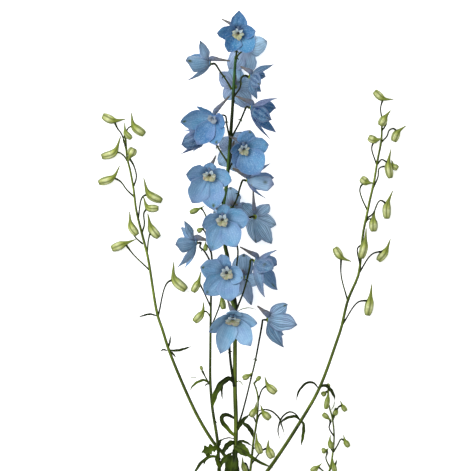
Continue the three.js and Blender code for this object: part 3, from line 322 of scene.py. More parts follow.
# how pale each bloom's skin is: -1 is deep, 1 is pale, and a few go beyond
# partly their own colour, partly painted light: blooms in shade under others are painted paler
bloomTonesAndPaintedLight = [-1.05, 3.0, -0.35, -1.2, 1.3, -1.45, -0.8, -0.9, -0.7, 0.9, -0.05, -0.1, 1.4, 0.1, 1.15, -0.05,
              -0.85, -0.05, 0.7, 0.95, 0.4]

# how each sepal is cut, for the blooms that differ from the plain cut: breadth beside the others, how far it
# narrows to a point, how far it rolls to show its outer face, in degrees, and where it differs, its overlap
plainCut = (1, 0.22, 0)
sepalCuts = {
    1: [(0.95, 0.75, 0), (0.95, 0.35, 0), (1.06, 0.15, 0), (1, 0.3, 0), (0.88, 0.5, 0)],
    2: [(1, 0.2, 0), (0.9, 0.3, 0), (0.7, 0.2, 0), (1.1, 0.4, 0), (0.9, 0.3, 0)],
    3: [(0.72, 0.6, 45), (1.2, 0, 0), (0.38, 1, 25), (0.4, 0.5, 0), (0.6, 0.5, 0)],
    4: [(0.42, 1, 28), (0.7, 0.4, 0), (0.75, 0.6, 0), (0.5, 0.95, 30), (0.95, 0.5, 0)],
    5: [(0.9, 0.6, 0), (1, 0.3, 0), (0.95, 0.5, 0), (1, 0.3, 0), (1, 0.3, 0)],
    6: [(0.55, 0.9, 30), (0.9, 0.2, 0), (0.8, 0.7, 0), (0.36, 1, 25), (0.85, 0.55, 10)],
    7: [(0.36, 0.6, 0), (1, 0.1, 0), (1.05, 0.2, 0), (1, 0.2, 0), (0.85, 0.12, 0)],
    8: [(0.9, 0.2, 0), (0.8, 0.05, 0, 0.8), (0.24, 1, 25), (0.7, 0.3, 0), (0.7, 0.3, 0)],
    9: [(1.35, 0, 0), (0.95, 0.15, 0), (1.5, 0.1, 0, 0.9), (0.95, 0.2, 0), (1.15, 0.1, 0)],
    11: [(1.7, 0, 0), (1, 0.15, 0), (1.12, 0.2, 0), (1.12, 0.15, 0), (0.95, 0.15, 0)],
    12: [(0.4, 0.9, 30), (0.7, 0.4, 0), (0.42, 0.8, 0), (0.15, 1, 35), (1.15, 0, 0)],
    13: [(0.95, 0.22, 0), plainCut, plainCut, plainCut, (0.6, 0.25, 0)],
    14: [(1.25, 0, 0), (1, 0.15, 0), (1.08, 0.2, 0), (1, 0.4, 0), (1, 0.2, 0)],
    15: [(0.85, 0.3, 0), (0.95, 0.35, 0), (0.68, 0.4, 0), (0.82, 0.35, 0), (0.74, 0.2, 0)],
    16: [(0.78, 0.85, 35), (1.05, 0.15, 0), (0.5, 0.9, 35), (0.5, 0.9, 0), (1.25, 0.12, 0)],
    17: [(0.95, 0.8, 22), (0.9, 0.4, 0), (1.2, 0.5, 12), (1.25, 0.7, 22), (0.95, 0.5, 0)],
    18: [(0.95, 0.15, 0), (1.25, 0.15, 0), (1.12, 0.28, 0), (1.05, 0.15, 0), (1.02, 0.15, 0)],
    19: [(1, 0.1, 0), (0.9, 0.2, 0), (0.8, 0.3, 0), (0.5, 0.6, 0), (0.85, 0.05, 0)],
    20: [(2.5, 0, 0), (0.9, 0.3, 0), (1, 0.15, 0), (1, 0.35, 0), (0.85, 0.5, 0)],
    21: [(1, 0.2, 35), (0.9, 0.4, 0), (0.8, 0.5, 0), (0.85, 0.75, 30), (1, 0.3, 0)],
}

# how deep a bloom's sepals are pleated along their veins, in millimetres, where that is more than usual
bloomPleats = {2: 0.25, 3: 0.25, 4: 0.6, 5: 0.45, 6: 0.5, 8: 0.4, 10: 0.3, 12: 0.2, 13: 0.3, 15: 0.8,
               16: 0.35, 17: 0.3, 19: 0.35, 21: 0.95}

# how the bee sits in the blooms that face the viewer: its turn in degrees, its breadth and its height, and
# how far its colour has faded
beeFits = {1: (-16, 1.12, 1.32, 0), 7: (-30, 1.1, 1.05, 0.8), 9: (8, 1.05, 1.4, 0.15), 11: (0, 1.4, 1.38, 0),
           14: (-6, 1.3, 1.48, 0.05), 18: (16, 1.32, 1.5, 0.15), 20: (0, 1.5, 1.4, 0.1)}

# blooms whose painted throat shade is lighter than the full depth of 1
throatShadeDepths = {7: 0.12, 20: 0.55}

# how much paler and how much mauver a sepal is than the rest of its bloom, less than nothing where it is
# deeper or bluer, by bloom and by sepal as its tips are counted
# partly own colour, partly painted light and shade: shaded sepals painted paler, edge-on ones darker
sepalTintsAndPaintedLight = {
    (1, 0): (0.1, -0.08), (1, 2): (0.2, -0.16), (1, 3): (0, -0.1), (1, 4): (-0.2, 0.1),
    (2, 1): (-1.3, 0.24), (2, 2): (-1.1, 0.2), (2, 3): (0.3, -0.2), (5, 0): (-0.9, 0.2),
    (5, 1): (-0.9, 0.08), (5, 2): (-0.5, 0), (6, 1): (0.5, 0), (6, 2): (-0.2, 0.12), (7, 4): (0.5, -0.05),
    (8, 1): (-0.2, -0.06), (8, 2): (-0.9, -0.04), (9, 4): (0.2, 0.1), (12, 1): (-0.5, 0),
    (12, 3): (-1.3, 0.22), (12, 4): (0.7, 0.06), (13, 4): (0.4, 0.1), (14, 2): (0, -0.08),
    (16, 4): (0.1, 0.22), (17, 1): (0.4, 0.1), (17, 2): (0.8, 0.08), (17, 3): (0.2, 0.12), (19, 2): (0.6, 0),
    (19, 3): (1.4, 0.2), (19, 4): (2.0, 0.05), (21, 3): (-1.0, -0.05),
}

# where a sepal's spot differs: how strong it is and how far back from the tip, as a share of the sepal
sepalSpots = {(1, 2): (0, 0), (2, 3): (0.2, 0), (9, 2): (0, 0), (12, 4): (0.7, 0.1), (16, 1): (0, 0),
              (17, 4): (0.6, 0.22), (19, 3): (0.8, 0)}

# which point of the layout sheet lies at the origin, and the seed of all that varies
layout = {"across": 252, "down": 331, "perMetre": 1000, "seed": 21}
rng = random.Random(layout["seed"])


def spot(place):
    return np.array([place[0] - layout["across"], layout["down"] - place[1], place[2]], float)


# camera, floor and light first

camera = {"middleAcross": 235.5, "middleDown": 235.5, "frameWidth": 0.471, "distance": 9.0, "sensor": 36,
          "clipEnd": 60}
studio = {"floorSize": 16, "floorHeight": -0.0003, "skyStrength": 0.62, "keyEnergy": 34, "keySize": 1.3,
          "keyPlace": (-1.1, 0.75, 1.3), "tableGlow": 0.6, "white": (1, 1, 1, 1),
          "floorTints": [(0.3, "#f4f4f3"), (0.7, "#f8f8f8")]}


def toLinear(hexColour):
    channels = [int(hexColour[i:i + 2], 16) / 255 for i in (1, 3, 5)]
    return [c / 12.92 if c <= 0.04045 else ((c + 0.055) / 1.055) ** 2.4 for c in channels] + [1]


def addNode(tree, kind, settings=()):
    # a node or socket is linked in, a hex colour is turned to linear, and all else is set as it is
    node = tree.nodes.new("ShaderNode" + kind)
    for name, value in dict(settings).items():
        if isinstance(value, bpy.types.Node):
            value = value.outputs[2 if value.bl_idname == "ShaderNodeMix" else 0]
        if name == "stops":
            ramp = node.color_ramp
            while len(ramp.elements) < len(value):
                ramp.elements.new(0.5)
            for element, (position, hexColour) in zip(ramp.elements, value):
                element.position = position
                element.color = toLinear(hexColour)
        elif isinstance(value, bpy.types.NodeSocket):
            tree.links.new(value, node.inputs[name])
        elif isinstance(name, int) or name in node.inputs:
            node.inputs[name].default_value = toLinear(value) if isinstance(value, str) else value
        else:
            setattr(node, name, value)
    return node


def newMaterial(name):
    material = bpy.data.materials.new(name)
    material.use_nodes = True
    material.node_tree.nodes.clear()
    return material, material.node_tree


def finishMaterial(material, surface):
    shader = addNode(material.node_tree, "BsdfPrincipled", surface)
    addNode(material.node_tree, "OutputMaterial", {"Surface": shader})
    return material


def newSkin(name, *marks):
    # plant skins read the sheet's own map, the place on the plant, and the marks of the sheet
    material, tree = newMaterial(name)
    uv = addNode(tree, "UVMap", {"uv_map": "UVMap"})
    world = addNode(tree, "TexCoord").outputs["Object"]
    return material, tree, uv, world, *(
        addNode(tree, "Attribute", {"attribute_name": mark}).outputs["Fac"] for mark in marks)


def patchyTone(tree, tone, patches, start, end, reach, clamp=True):
    # the sheet's own tone, from -1, deep, to 1, pale, made patchy by up to the reach
    patchTone = addNode(tree, "MapRange", {0: patches, 1: start, 2: end, 3: -reach, 4: reach})
    toneSum = addNode(tree, "Math", {"operation": "ADD", 0: patchTone, 1: tone})
    return addNode(tree, "MapRange", {0: toneSum, 1: -1.0, 2: 1.0, "clamp": clamp})


def finishSkin(material, skin, look, layers, gloss, relief, surface):
    # each layer lies over the last: its share follows a source between two values, and a mark if it has one
    tree = material.node_tree
    for layer, (share, *span) in layers.items():
        if span:
            start, end, low, high, *mark = span
            share = addNode(tree, "MapRange", {0: share, 1: start, 2: end, 3: low, 4: high})
            if mark:
                share = addNode(tree, "Math", {"operation": "MULTIPLY", 0: share, 1: mark[0]})
        skin = addNode(tree, "Mix", {"data_type": "RGBA", 0: share, 6: skin, 7: look[layer]})
    return finishMaterial(material, {"Base Color": skin, "Roughness": addNode(tree, "MapRange", gloss),
                                     "Normal": addNode(tree, "Bump", relief), **surface})


def selectOnly(*pieces):
    bpy.ops.object.select_all(action="DESELECT")
    for piece in pieces:
        piece.select_set(True)
    bpy.context.view_layer.objects.active = pieces[0]


bpy.ops.object.select_all(action="DESELECT")
cameraPlace = spot((camera["middleAcross"], camera["middleDown"], 0)) / layout["perMetre"]
bpy.ops.object.camera_add(location=(cameraPlace[0], cameraPlace[1], camera["distance"]), rotation=(0, 0, 0))
cameraObject = bpy.context.object
cameraObject.data.sensor_width = camera["sensor"]
cameraObject.data.lens = camera["sensor"] * camera["distance"] / camera["frameWidth"]
cameraObject.data.clip_end = camera["clipEnd"]
bpy.context.scene.camera = cameraObject

bpy.ops.mesh.primitive_plane_add(size=studio["floorSize"], location=(0, 0, studio["floorHeight"]))
floor = bpy.context.object
floor.name = "studio_floor"
floorPaint, floorTree = newMaterial("lit white table")
floorPlace = addNode(floorTree, "TexCoord").outputs["Object"]
floorMottle = addNode(floorTree, "TexNoise", {"Vector": floorPlace, "Scale": 3.0})
floorTint = addNode(floorTree, "ValToRGB", {"Fac": floorMottle, "stops": studio["floorTints"]})
floor.data.materials.append(finishMaterial(floorPaint, {
    "Base Color": floorTint, "Roughness": 0.9, "Emission Color": studio["white"],
    "Emission Strength": studio["tableGlow"]}))

world = bpy.data.worlds.new("white studio")
world.use_nodes = True
world.node_tree.nodes["Background"].inputs["Strength"].default_value = studio["skyStrength"]
world.node_tree.nodes["Background"].inputs["Color"].default_value = studio["white"]
bpy.context.scene.world = world
bpy.context.scene.view_settings.view_transform = "Standard"

bpy.ops.object.light_add(type="AREA", location=studio["keyPlace"])
keyLight = bpy.context.object
keyLight.data.size = studio["keySize"]
keyLight.data.energy = studio["keyEnergy"]
keyLight.rotation_euler = (-Vector(studio["keyPlace"])).to_track_quat("-Z", "Y").to_euler()
print("camera, floor and light are set")


# materials

def sepalMaterial(name, look):
    # live petal skin: soft and faintly velvety, with parallel veins
    material, tree, uv, world, tone, lean, throatShadeDepth, veining, tipSpot, spotBack = newSkin(
        name, "tone", "lean", "throat", "veining", "spot", "spotBack")
    place = addNode(tree, "SeparateXYZ", {0: uv}).outputs
    fromMiddle = addNode(tree, "Math", {"operation": "SUBTRACT", 0: place["Y"], 1: 0.5})
    sideways = addNode(tree, "Math", {"operation": "ABSOLUTE", 0: fromMiddle})
    # cloudy patches about 12 mm across
    clouds = addNode(tree, "TexNoise", {"Vector": world, "Scale": 85, "Detail": 3})
    paleness = patchyTone(tree, tone, clouds, 0.3, 0.7, 0.38, clamp=False)
    skin = addNode(tree, "Mix", {"data_type": "RGBA", "clamp_factor": False, 0: paleness, 6: look["deep"],
                                 7: look["pale"]})
    # the blue runs to sea blue in some places and to mauve in others, about 18 mm apart, and each sepal
    # leans one way
    patches = addNode(tree, "TexNoise", {"Vector": world, "Scale": 55, "Detail": 2})
    drift = addNode(tree, "Math", {"operation": "ADD", 0: patches, 1: lean})
    # pale flecks a millimetre across, where the skin's cells catch the light
    flecks = addNode(tree, "TexNoise", {"Vector": world, "Scale": 950, "Detail": 1})
    # about nine veins, two millimetres apart at the widest place
    veins = addNode(tree, "TexWave", {"Vector": uv, "bands_direction": "Y", "Scale": 2.9, "Distortion": 3.2,
                                      "Detail": 2.0, "Detail Scale": 1.0}).outputs["Fac"]
    # how far from the green spot under the tip
    fromTip = addNode(tree, "VectorMath", {"operation": "MULTIPLY_ADD", 0: uv, 1: (1.0, 0.55, 0.0),
                                           2: (-0.88, -0.275, 0.0)})
    spotShift = addNode(tree, "CombineXYZ", {0: spotBack})
    fromSpot = addNode(tree, "VectorMath", {"operation": "ADD", 0: fromTip, 1: spotShift})
    spotDistance = addNode(tree, "VectorMath", {"operation": "LENGTH", 0: fromSpot}).outputs["Value"]
    # crinkles about 2 mm apart
    crinkle = addNode(tree, "TexNoise", {"Vector": world, "Scale": 480, "Detail": 4})
    relief = addNode(tree, "Math", {"operation": "MULTIPLY_ADD", 0: veins, 1: 0.5, 2: crinkle})
    # painted shade darkens the throat, and the tip darkens to mauve brown
    return finishSkin(material, skin, look, {
        "sea": (drift, 0.46, 0.3, 0.0, look["drift"]), "mauve": (drift, 0.54, 0.7, 0.0, look["drift"]),
        "fleck": (flecks, 0.52, 0.75, 0.0, 0.4),
        "throat": (place["X"], 0.17, 0.4, look["throatShadeShare"], 0.0, throatShadeDepth),
        # the rim runs mauver to the edges, partly its own tint and partly painted shade where they curl
        # the veins darken where the pleats are deep, partly real veins and partly painted shade in the
        # furrows
        "veinAndPleatShade": (veins, 0.0, 0.4, 1.0, 0.0, veining), "rimTintAndShade": (sideways, 0.34, 0.5, 0.0, look["rimTintAndShadeShare"]),
        "tip": (place["X"], 0.86, 1.0, 0.0, 0.75), "tipSpot": (spotDistance, 0.02, 0.085, 1.0, 0.0, tipSpot),
    }, gloss={0: crinkle, 1: 0.3, 2: 0.7, 3: 0.48, 4: 0.68},
        relief={"Height": relief, "Strength": look["relief"], "Distance": 0.0004},
        surface={"IOR": 1.4, "Specular IOR Level": 0.35, "Sheen Weight": 0.04, "Sheen Roughness": 0.5})


sepalFront = sepalMaterial("petal skin, inner face", {
    "pale": "#83a9c7", "deep": "#42719f", "sea": "#4b93b8", "mauve": "#738ab8", "drift": 0.42,
    # painted shade: the throat colour, and in part the vein and rim colours
    "fleck": "#a6c4dd", "throat": "#1c3350", "throatShadeShare": 0.95, "veinAndPleatShade": "#3f6288", "rimTintAndShade": "#7780aa",
    "rimTintAndShadeShare": 0.25, "tip": "#5d6488", "tipSpot": "#3f5538", "relief": 0.4})
sepalBack = sepalMaterial("petal skin, outer face", {
    "pale": "#8cadca", "deep": "#4b6888", "sea": "#5c8fae", "mauve": "#8285ab", "drift": 0.45,
    # painted shade: the throat colour, and in part the vein and rim colours
    "fleck": "#9fb4c8", "throat": "#59606c", "throatShadeShare": 0.6, "veinAndPleatShade": "#34495f", "rimTintAndShade": "#656c8f",
    "rimTintAndShadeShare": 0.4, "tip": "#454a60", "tipSpot": "#35432b", "relief": 0.7})


def spurMaterial(name, look):
    # the spur's skin is thin and puckered, blue by the bloom and brown by its tip
    material, tree, uv, world = newSkin(name)
    along = addNode(tree, "SeparateXYZ", {0: uv})
    lengthwise = addNode(tree, "ValToRGB", {"Fac": along, "stops": look["lengthwise"]})
    # blotches and puckers about 3 mm apart
    blotches = addNode(tree, "TexNoise", {"Vector": world, "Scale": 300, "Detail": 4})
    return finishSkin(material, lengthwise, look, {"blotch": (blotches, 0.45, 0.65, 0.0, 0.6)},
                      gloss={0: blotches, 3: 0.5, 4: 0.75},
                      relief={"Height": blotches, "Strength": 0.6, "Distance": 0.0005},
                      surface={"IOR": 1.42, "Specular IOR Level": 0.3, "Sheen Weight": 0.06})


spurSkin = spurMaterial("puckered spur skin", {
    "lengthwise": [(0.0, "#4c6a8e"), (0.3, "#5d6880"), (0.6, "#64646a"), (0.9, "#5d554b"), (1.0, "#3f382d")],
    "blotch": "#4c4c45"})


def beeMaterial(name, look):
    # the inner petals are waxy: cream and yellow below, where the beard grows, bluish white above
    material, tree, uv, world, beard, pallor, fading = newSkin(name, "beard", "pallor", "fading")
    along = addNode(tree, "SeparateXYZ", {0: uv})
    lengthwise = addNode(tree, "ValToRGB", {"Fac": along, "stops": look["lengthwise"]})
    # patches about 3 mm across, so no two petals of a bee are quite alike, and the beard's grain, 1.4 mm
    patches = addNode(tree, "TexNoise", {"Vector": world, "Scale": 330, "Detail": 3})
    grain = addNode(tree, "TexNoise", {"Vector": world, "Scale": 700, "Detail": 3})
    return finishSkin(material, lengthwise, look, {
        "patch": (patches, 0.45, 0.62, 0.0, 0.7), "flush": (patches, 0.44, 0.34, 0.0, 0.7),
        "beard": (grain, 0.35, 0.65, 0.2, 1.0, beard), "upper": (pallor,), "faded": (fading,),
    }, gloss={0: grain, 3: 0.5, 4: 0.8}, relief={"Height": grain, "Strength": 0.35, "Distance": 0.0003},
        surface={"IOR": 1.42, "Specular IOR Level": 0.35, "Sheen Weight": 0.1})


beeSkin = beeMaterial("waxy bee petals", {
    "lengthwise": [(0.0, "#37402f"), (0.3, "#7b8063"), (0.5, "#a3a485"), (0.8, "#abae99"), (1.0, "#9fa0a2")],
    "patch": "#83957f", "flush": "#ab8c9a", "beard": "#a39d58", "upper": "#acbcc3", "faded": "#7a889c"})
# the bee's throat tube is painted shade, dark for the shadowed opening in the middle of the bee
beeThroatShade = beeMaterial("dark bee throat", {
    "lengthwise": [(0.0, "#1c2226"), (0.6, "#23282a"), (1.0, "#3c3c30")],
    "patch": "#161c26", "flush": "#1c2226", "beard": "#3c3c30", "upper": "#1c2226", "faded": "#5b7898"})


def stemMaterial(name, look):
    # young stem: smooth, slightly waxy, with fine lengthwise ribs and shaded stretches about 22 mm long
    material, tree, uv, world, tone, freshness = newSkin(name, "tone", "freshness")
    ribPlace = addNode(tree, "Mapping", {"Vector": uv, "Scale": look["ribScale"]})
    ribs = addNode(tree, "TexNoise", {"Vector": ribPlace, "Scale": 1.0, "Detail": 3})
    patches = addNode(tree, "TexNoise", {"Vector": world, "Scale": 45, "Detail": 3})
    mottle = addNode(tree, "Math", {"operation": "ADD", 0: ribs, 1: patches})
    paleness = patchyTone(tree, tone, mottle, 0.7, 1.3, 0.65)
    grown = addNode(tree, "ValToRGB", {"Fac": paleness, "stops": look["skin"]})
    young = addNode(tree, "ValToRGB", {"Fac": paleness, "stops": look["youngSkin"]})
    skin = addNode(tree, "Mix", {"data_type": "RGBA", 0: freshness, 6: grown, 7: young})
    return finishSkin(material, skin, look, {}, gloss={0: patches, 3: 0.45, 4: 0.7},
                      relief={"Height": ribs, "Strength": 0.4, "Distance": 0.0003},
                      surface={"IOR": 1.45, "Specular IOR Level": look["shine"]})


stemSkin = stemMaterial("waxy stem skin", {
    "ribScale": (3, 9, 1), "shine": 0.15,
    "skin": [(0.0, "#10180a"), (0.35, "#29360f"), (0.65, "#52621d"), (1.0, "#7f8f3d")],
    "youngSkin": [(0.0, "#0b2413"), (0.35, "#173a1d"), (0.65, "#31592c"), (1.0, "#5f8a4a")]})


def budMaterial(name, look):
    # closed buds: pale yellow-green with the dark seams of the folded sepals, green at the spur. Painted
    #     # shade keeps the flanks and underside darker than the top, and small buds are green all over.
    material, tree, uv, world, flank, green = newSkin(name, "flank", "green")
    along = addNode(tree, "SeparateXYZ", {0: uv})
    lengthwise = addNode(tree, "ValToRGB", {"Fac": along, "stops": look["lengthwise"]})
    # streaks along the bud, each about a millimetre wide, and freckles two to three millimetres apart
    streakPlace = addNode(tree, "Mapping", {"Vector": uv, "Scale": look["streakScale"]})
    streaks = addNode(tree, "TexNoise", {"Vector": streakPlace, "Scale": 1.0, "Detail": 3})
    freckles = addNode(tree, "TexNoise", {"Vector": world, "Scale": 380, "Detail": 3})
    # five seams round the bud
    seams = addNode(tree, "TexWave", {"Vector": uv, "bands_direction": "Y", "Scale": 1.571,
                                      "Distortion": 0.6, "Detail Scale": 0.8}).outputs["Fac"]
    sideShadeShare, greenShare = (addNode(tree, "Math", {"operation": "MULTIPLY", 0: mark, 1: 0.75})
                              for mark in (flank, green))
    return finishSkin(material, lengthwise, look, {
        "streak": (streaks, 0.45, 0.7, 0.0, 0.6), "seam": (seams, 0.0, 0.45, 0.7, 0.0),
        "freckle": (freckles, 0.5, 0.75, 0.0, 0.55), "flank": (sideShadeShare,), "green": (greenShare,),
    }, gloss={0: freckles, 3: 0.45, 4: 0.7}, relief={"Height": seams, "Strength": 0.5, "Distance": 0.0004},
        surface={"IOR": 1.42, "Specular IOR Level": 0.25, "Sheen Weight": 0.08})


budSkin = budMaterial("downy bud skin", {
    "lengthwise": [(0.0, "#2c3314"), (0.05, "#5f692b"), (0.13, "#b4ba76"), (0.3, "#d3d8a0"),
                   (0.42, "#b0b965"), (0.52, "#828f32"), (0.64, "#788432"), (0.88, "#737c3a"),
                   (1.0, "#45442b")],
    "streakScale": (3, 14, 1), "streak": "#7c8748", "seam": "#4a5520", "freckle": "#6c783a",
    # the flank colour is the painted shade on the flanks and underside
    "flank": "#566325", "green": "#6b7d2c"})


def leafMaterial(name, look):
    # leaf blade: very dark, a little glossy, with a paler midrib and raised side veins
    material, tree, uv, world, tone = newSkin(name, "tone")
    across = addNode(tree, "SeparateXYZ", {0: uv}).outputs["Y"]
    fromMiddle = addNode(tree, "Math", {"operation": "SUBTRACT", 0: across, 1: 0.5})
    sideways = addNode(tree, "Math", {"operation": "ABSOLUTE", 0: fromMiddle})
    # patches about 9 mm across
    patches = addNode(tree, "TexNoise", {"Vector": world, "Scale": 110, "Detail": 4})
    paleness = patchyTone(tree, tone, patches, 0.3, 0.7, 0.4)
    blade = addNode(tree, "ValToRGB", {"Fac": paleness, "stops": look["blade"]})
    veins = addNode(tree, "TexWave", {"Vector": uv, "bands_direction": "DIAGONAL", "Scale": 3.0,
                                      "Distortion": 1.0}).outputs["Fac"]
    return finishSkin(material, blade, look, {"rib": (sideways, 0.02, 0.07, 0.5, 0.0)},
                      gloss={0: patches, 3: 0.4, 4: 0.65},
                      relief={"Height": veins, "Strength": 0.4, "Distance": 0.0003},
                      surface={"IOR": 1.45, "Specular IOR Level": 0.1})


leafSkin = leafMaterial("leaf blade", {
    "blade": [(0.0, "#0e1604"), (0.45, "#243108"), (0.75, "#445712"), (1.0, "#6a7b22")], "rib": "#4a5a1c"})
print("materials are mixed")


# shaping: every sheet and stalk starts as a flat grid

shaping = {"pointsPerSpan": 14, "weldWithin": 0.000002}


def markAll(piece, markName, value):
    # one number for the whole piece, or one for each of its vertices
    values = np.broadcast_to(np.asarray(value, float), len(piece.data.vertices))
    piece.data.attributes.new(markName, "FLOAT", "POINT").data.foreach_set("value", values)


def shapedGrid(name, rows, columns, place, materials, marks):
    bpy.ops.object.select_all(action="DESELECT")
    bpy.ops.mesh.primitive_grid_add(x_subdivisions=rows, y_subdivisions=columns, size=1)
    piece = bpy.context.object
    piece.name = name
    vertices = piece.data.vertices
    flat = np.empty(len(vertices) * 3)
    vertices.foreach_get("co", flat)
    flat = flat.reshape(-1, 3)
    u = np.clip(flat[:, 0] + 0.5, 0, 1)
    v = np.clip(flat[:, 1] * 2, -1, 1)
    vertices.foreach_set("co", (place(u, v) / layout["perMetre"]).ravel())
    for material in materials:
        piece.data.materials.append(material)
    for markName, value in marks.items():
        markAll(piece, markName, value(u, v) if callable(value) else value)
    return piece


def smoothstep(low, high, value):
    share = np.clip((value - low) / (high - low), 0, 1)
    return share * share * (3 - 2 * share)


def mixByKnot(points, knots, low, high, t):
    share = (t - knots[low]) / (knots[high] - knots[low])
    return (1 - share) * points[0] + share * points[1]


def smoothRoute(points):
    # a curve through the points that doesn't overshoot where they are unevenly spaced
    points = [np.asarray(p, float) for p in points]
    points = [2 * points[0] - points[1], *points, 2 * points[-1] - points[-2]]
    line = []
    for four in zip(points, points[1:], points[2:], points[3:]):
        gaps = [max(np.linalg.norm(b - a), 1e-6) ** 0.5 for a, b in zip(four, four[1:])]
        knots = np.cumsum([0] + gaps)
        for t in np.linspace(knots[1], knots[2], shaping["pointsPerSpan"], endpoint=False):
            near = [mixByKnot(four[i:i + 2], knots, i, i + 1, t) for i in range(3)]
            wide = [mixByKnot(near[i:i + 2], knots, i, i + 2, t) for i in range(2)]
            line.append(mixByKnot(wide, knots, 1, 2, t))
    line.append(points[-2])
    return np.array(line)


def walk(line, steps):
    # evenly spaced points along the line, with headings and two side directions that don't twist
    lengths = np.concatenate([[0], np.cumsum(np.linalg.norm(np.diff(line, axis=0), axis=1))])
    stops = np.linspace(0, lengths[-1], steps + 1)
    centres = np.stack([np.interp(stops, lengths, line[:, k]) for k in range(3)], axis=1)
    headings = np.gradient(centres, axis=0)
    headings /= np.linalg.norm(headings, axis=1)[:, None]
    side = np.cross(headings[0], (0, 0, 1))
    if np.linalg.norm(side) < 0.1:
        side = np.cross(headings[0], (0, 1, 0))
    sides = []
    for heading in headings:
        side = side - heading * side.dot(heading)
        side = side / np.linalg.norm(side)
        sides.append(side)
    sides = np.array(sides)
    return centres, headings, sides, np.cross(headings, sides)


def tube(name, points, radii, shape, material, marks, swell=None, turn=0.0):
    # one row more at either end draws the tube in to a closed point
    sides, steps = shape["sides"], shape["steps"]
    centres, _, firsts, seconds = walk(smoothRoute(points), steps)

    def place(lengthwise, around):
        row = np.rint(lengthwise * (steps + 2)).astype(int) - 1
        inner = np.clip(row, 0, steps)
        share = inner / steps
        radius = np.interp(share, np.linspace(0, 1, len(radii)), radii)
        if swell is not None:
            radius = radius * swell(share, math.pi * around)
        radius = np.where(row == inner, radius, 0)[:, None]
        angle = (math.pi * around + turn)[:, None]
        return centres[inner] + radius * (np.cos(angle) * firsts[inner] + np.sin(angle) * seconds[inner])

    return shapedGrid(name, steps + 2, sides, place, [material], marks)


def applyModifier(piece, kind, **settings):
    modifier = piece.modifiers.new(kind.title(), kind)
    for name, value in settings.items():
        setattr(modifier, name, value)
    selectOnly(piece)
    bpy.ops.object.modifier_apply(modifier=modifier.name)


def joinAll(name, pieces):
    selectOnly(*pieces)
    if len(pieces) > 1:
        bpy.ops.object.join()
    piece = bpy.context.object
    piece.name = piece.data.name = name
    return piece


def closeSeams(piece, turnOut=True):
    # an open sheet's faces already point one way
    selectOnly(piece)
    bpy.ops.object.mode_set(mode="EDIT")
    bpy.ops.mesh.select_all(action="SELECT")
    bpy.ops.mesh.remove_doubles(threshold=shaping["weldWithin"])
    if turnOut:
        bpy.ops.mesh.normals_make_consistent(inside=False)
    bpy.ops.object.mode_set(mode="OBJECT")
    bpy.ops.object.shade_smooth()


# sepals: five round each eye

sepal = {
    "rows": 18, "columns": 16, "thickness": 0.35, "breadth": 0.5, "breadthMost": 13, "rootRadius": 1.92,
    "rootAhead": -0.6, "bend": (0.55, 0.12), "overlap": 0.26, "spreadMost": 1.1, "ragged": (0.065, 0.05),
    "twist": -0.22, "cup": 0.35, "fold": 1.6, "crease": 0.3, "creaseHalf": 0.14, "ruffle": 0.8,
    "ruffleSpread": (0.7, 1.3), "buckle": 0.35, "tipDrop": 0.9, "lowest": 0.25, "pleatsAcross": 10.5,
    # the pleat tone paints ridges paler and furrows darker, as painted light and shade
    "pleat": 0.08, "pleatPaintedLight": 0.75, "toneSpread": (-0.28, 0.28), "leanSpread": (-0.11, 0.09),
    "spots": [0.0, 0.35, 0.8, 1.0],
}


def bloomAxes(bloom):
    turn, lift = (math.radians(angle) for angle in bloom["faces"])
    ahead = Vector((math.cos(lift) * math.cos(turn), math.cos(lift) * math.sin(turn), math.sin(lift)))
    right = Vector((0, 1, 0)).cross(ahead).normalized()
    axes = Matrix((right, ahead.cross(right), ahead)).transposed().to_4x4()
    axes.translation = Vector(spot(bloom["eye"]))
    return axes


def outward(axes, points):
    matrix = np.array(axes)
    return np.asarray(points) @ matrix[:3, :3].T + matrix[:3, 3]


def sepalPlan(number, bloom, axes):
    inverse = np.array(axes.inverted())
    plan = []
    for order, (tip, cut) in enumerate(zip(bloom["tips"], sepalCuts.get(number, [plainCut] * 5))):
        x, y, z = inverse[:3, :3] @ spot(tip) + inverse[:3, 3]
        plan.append({"angle": math.atan2(y, x), "reach": math.hypot(x, y), "ahead": z, "cut": cut,
                     "pleat": bloomPleats.get(number, sepal["pleat"]),
                     "shade": sepalTintsAndPaintedLight.get((number, order), (0, 0)),
                     "spot": sepalSpots.get((number, order))})
    plan.sort(key=lambda one: one["angle"])
    for one, following in zip(plan, plan[1:] + plan[:1]):
        one["roomAfter"] = following["roomBefore"] = (following["angle"] - one["angle"]) % (2 * math.pi) / 2
    return plan


def sepalOutline(u, point):
    # rounded blades stay broad to the end, pointed ones draw in from their first third
    rounded = np.sin(math.pi * u ** 1.12).clip(0) ** (0.5 + 0.35 * smoothstep(0.82, 1.0, u))
    opening = np.sin(math.pi / 2 * np.clip(u / 0.36, 0, 1)) ** 0.6
    closing = np.cos(math.pi / 2 * np.clip((u - 0.36) / 0.64, 0, 1)).clip(0) ** 1.5
    return (1 - point) * rounded + point * opening * closing


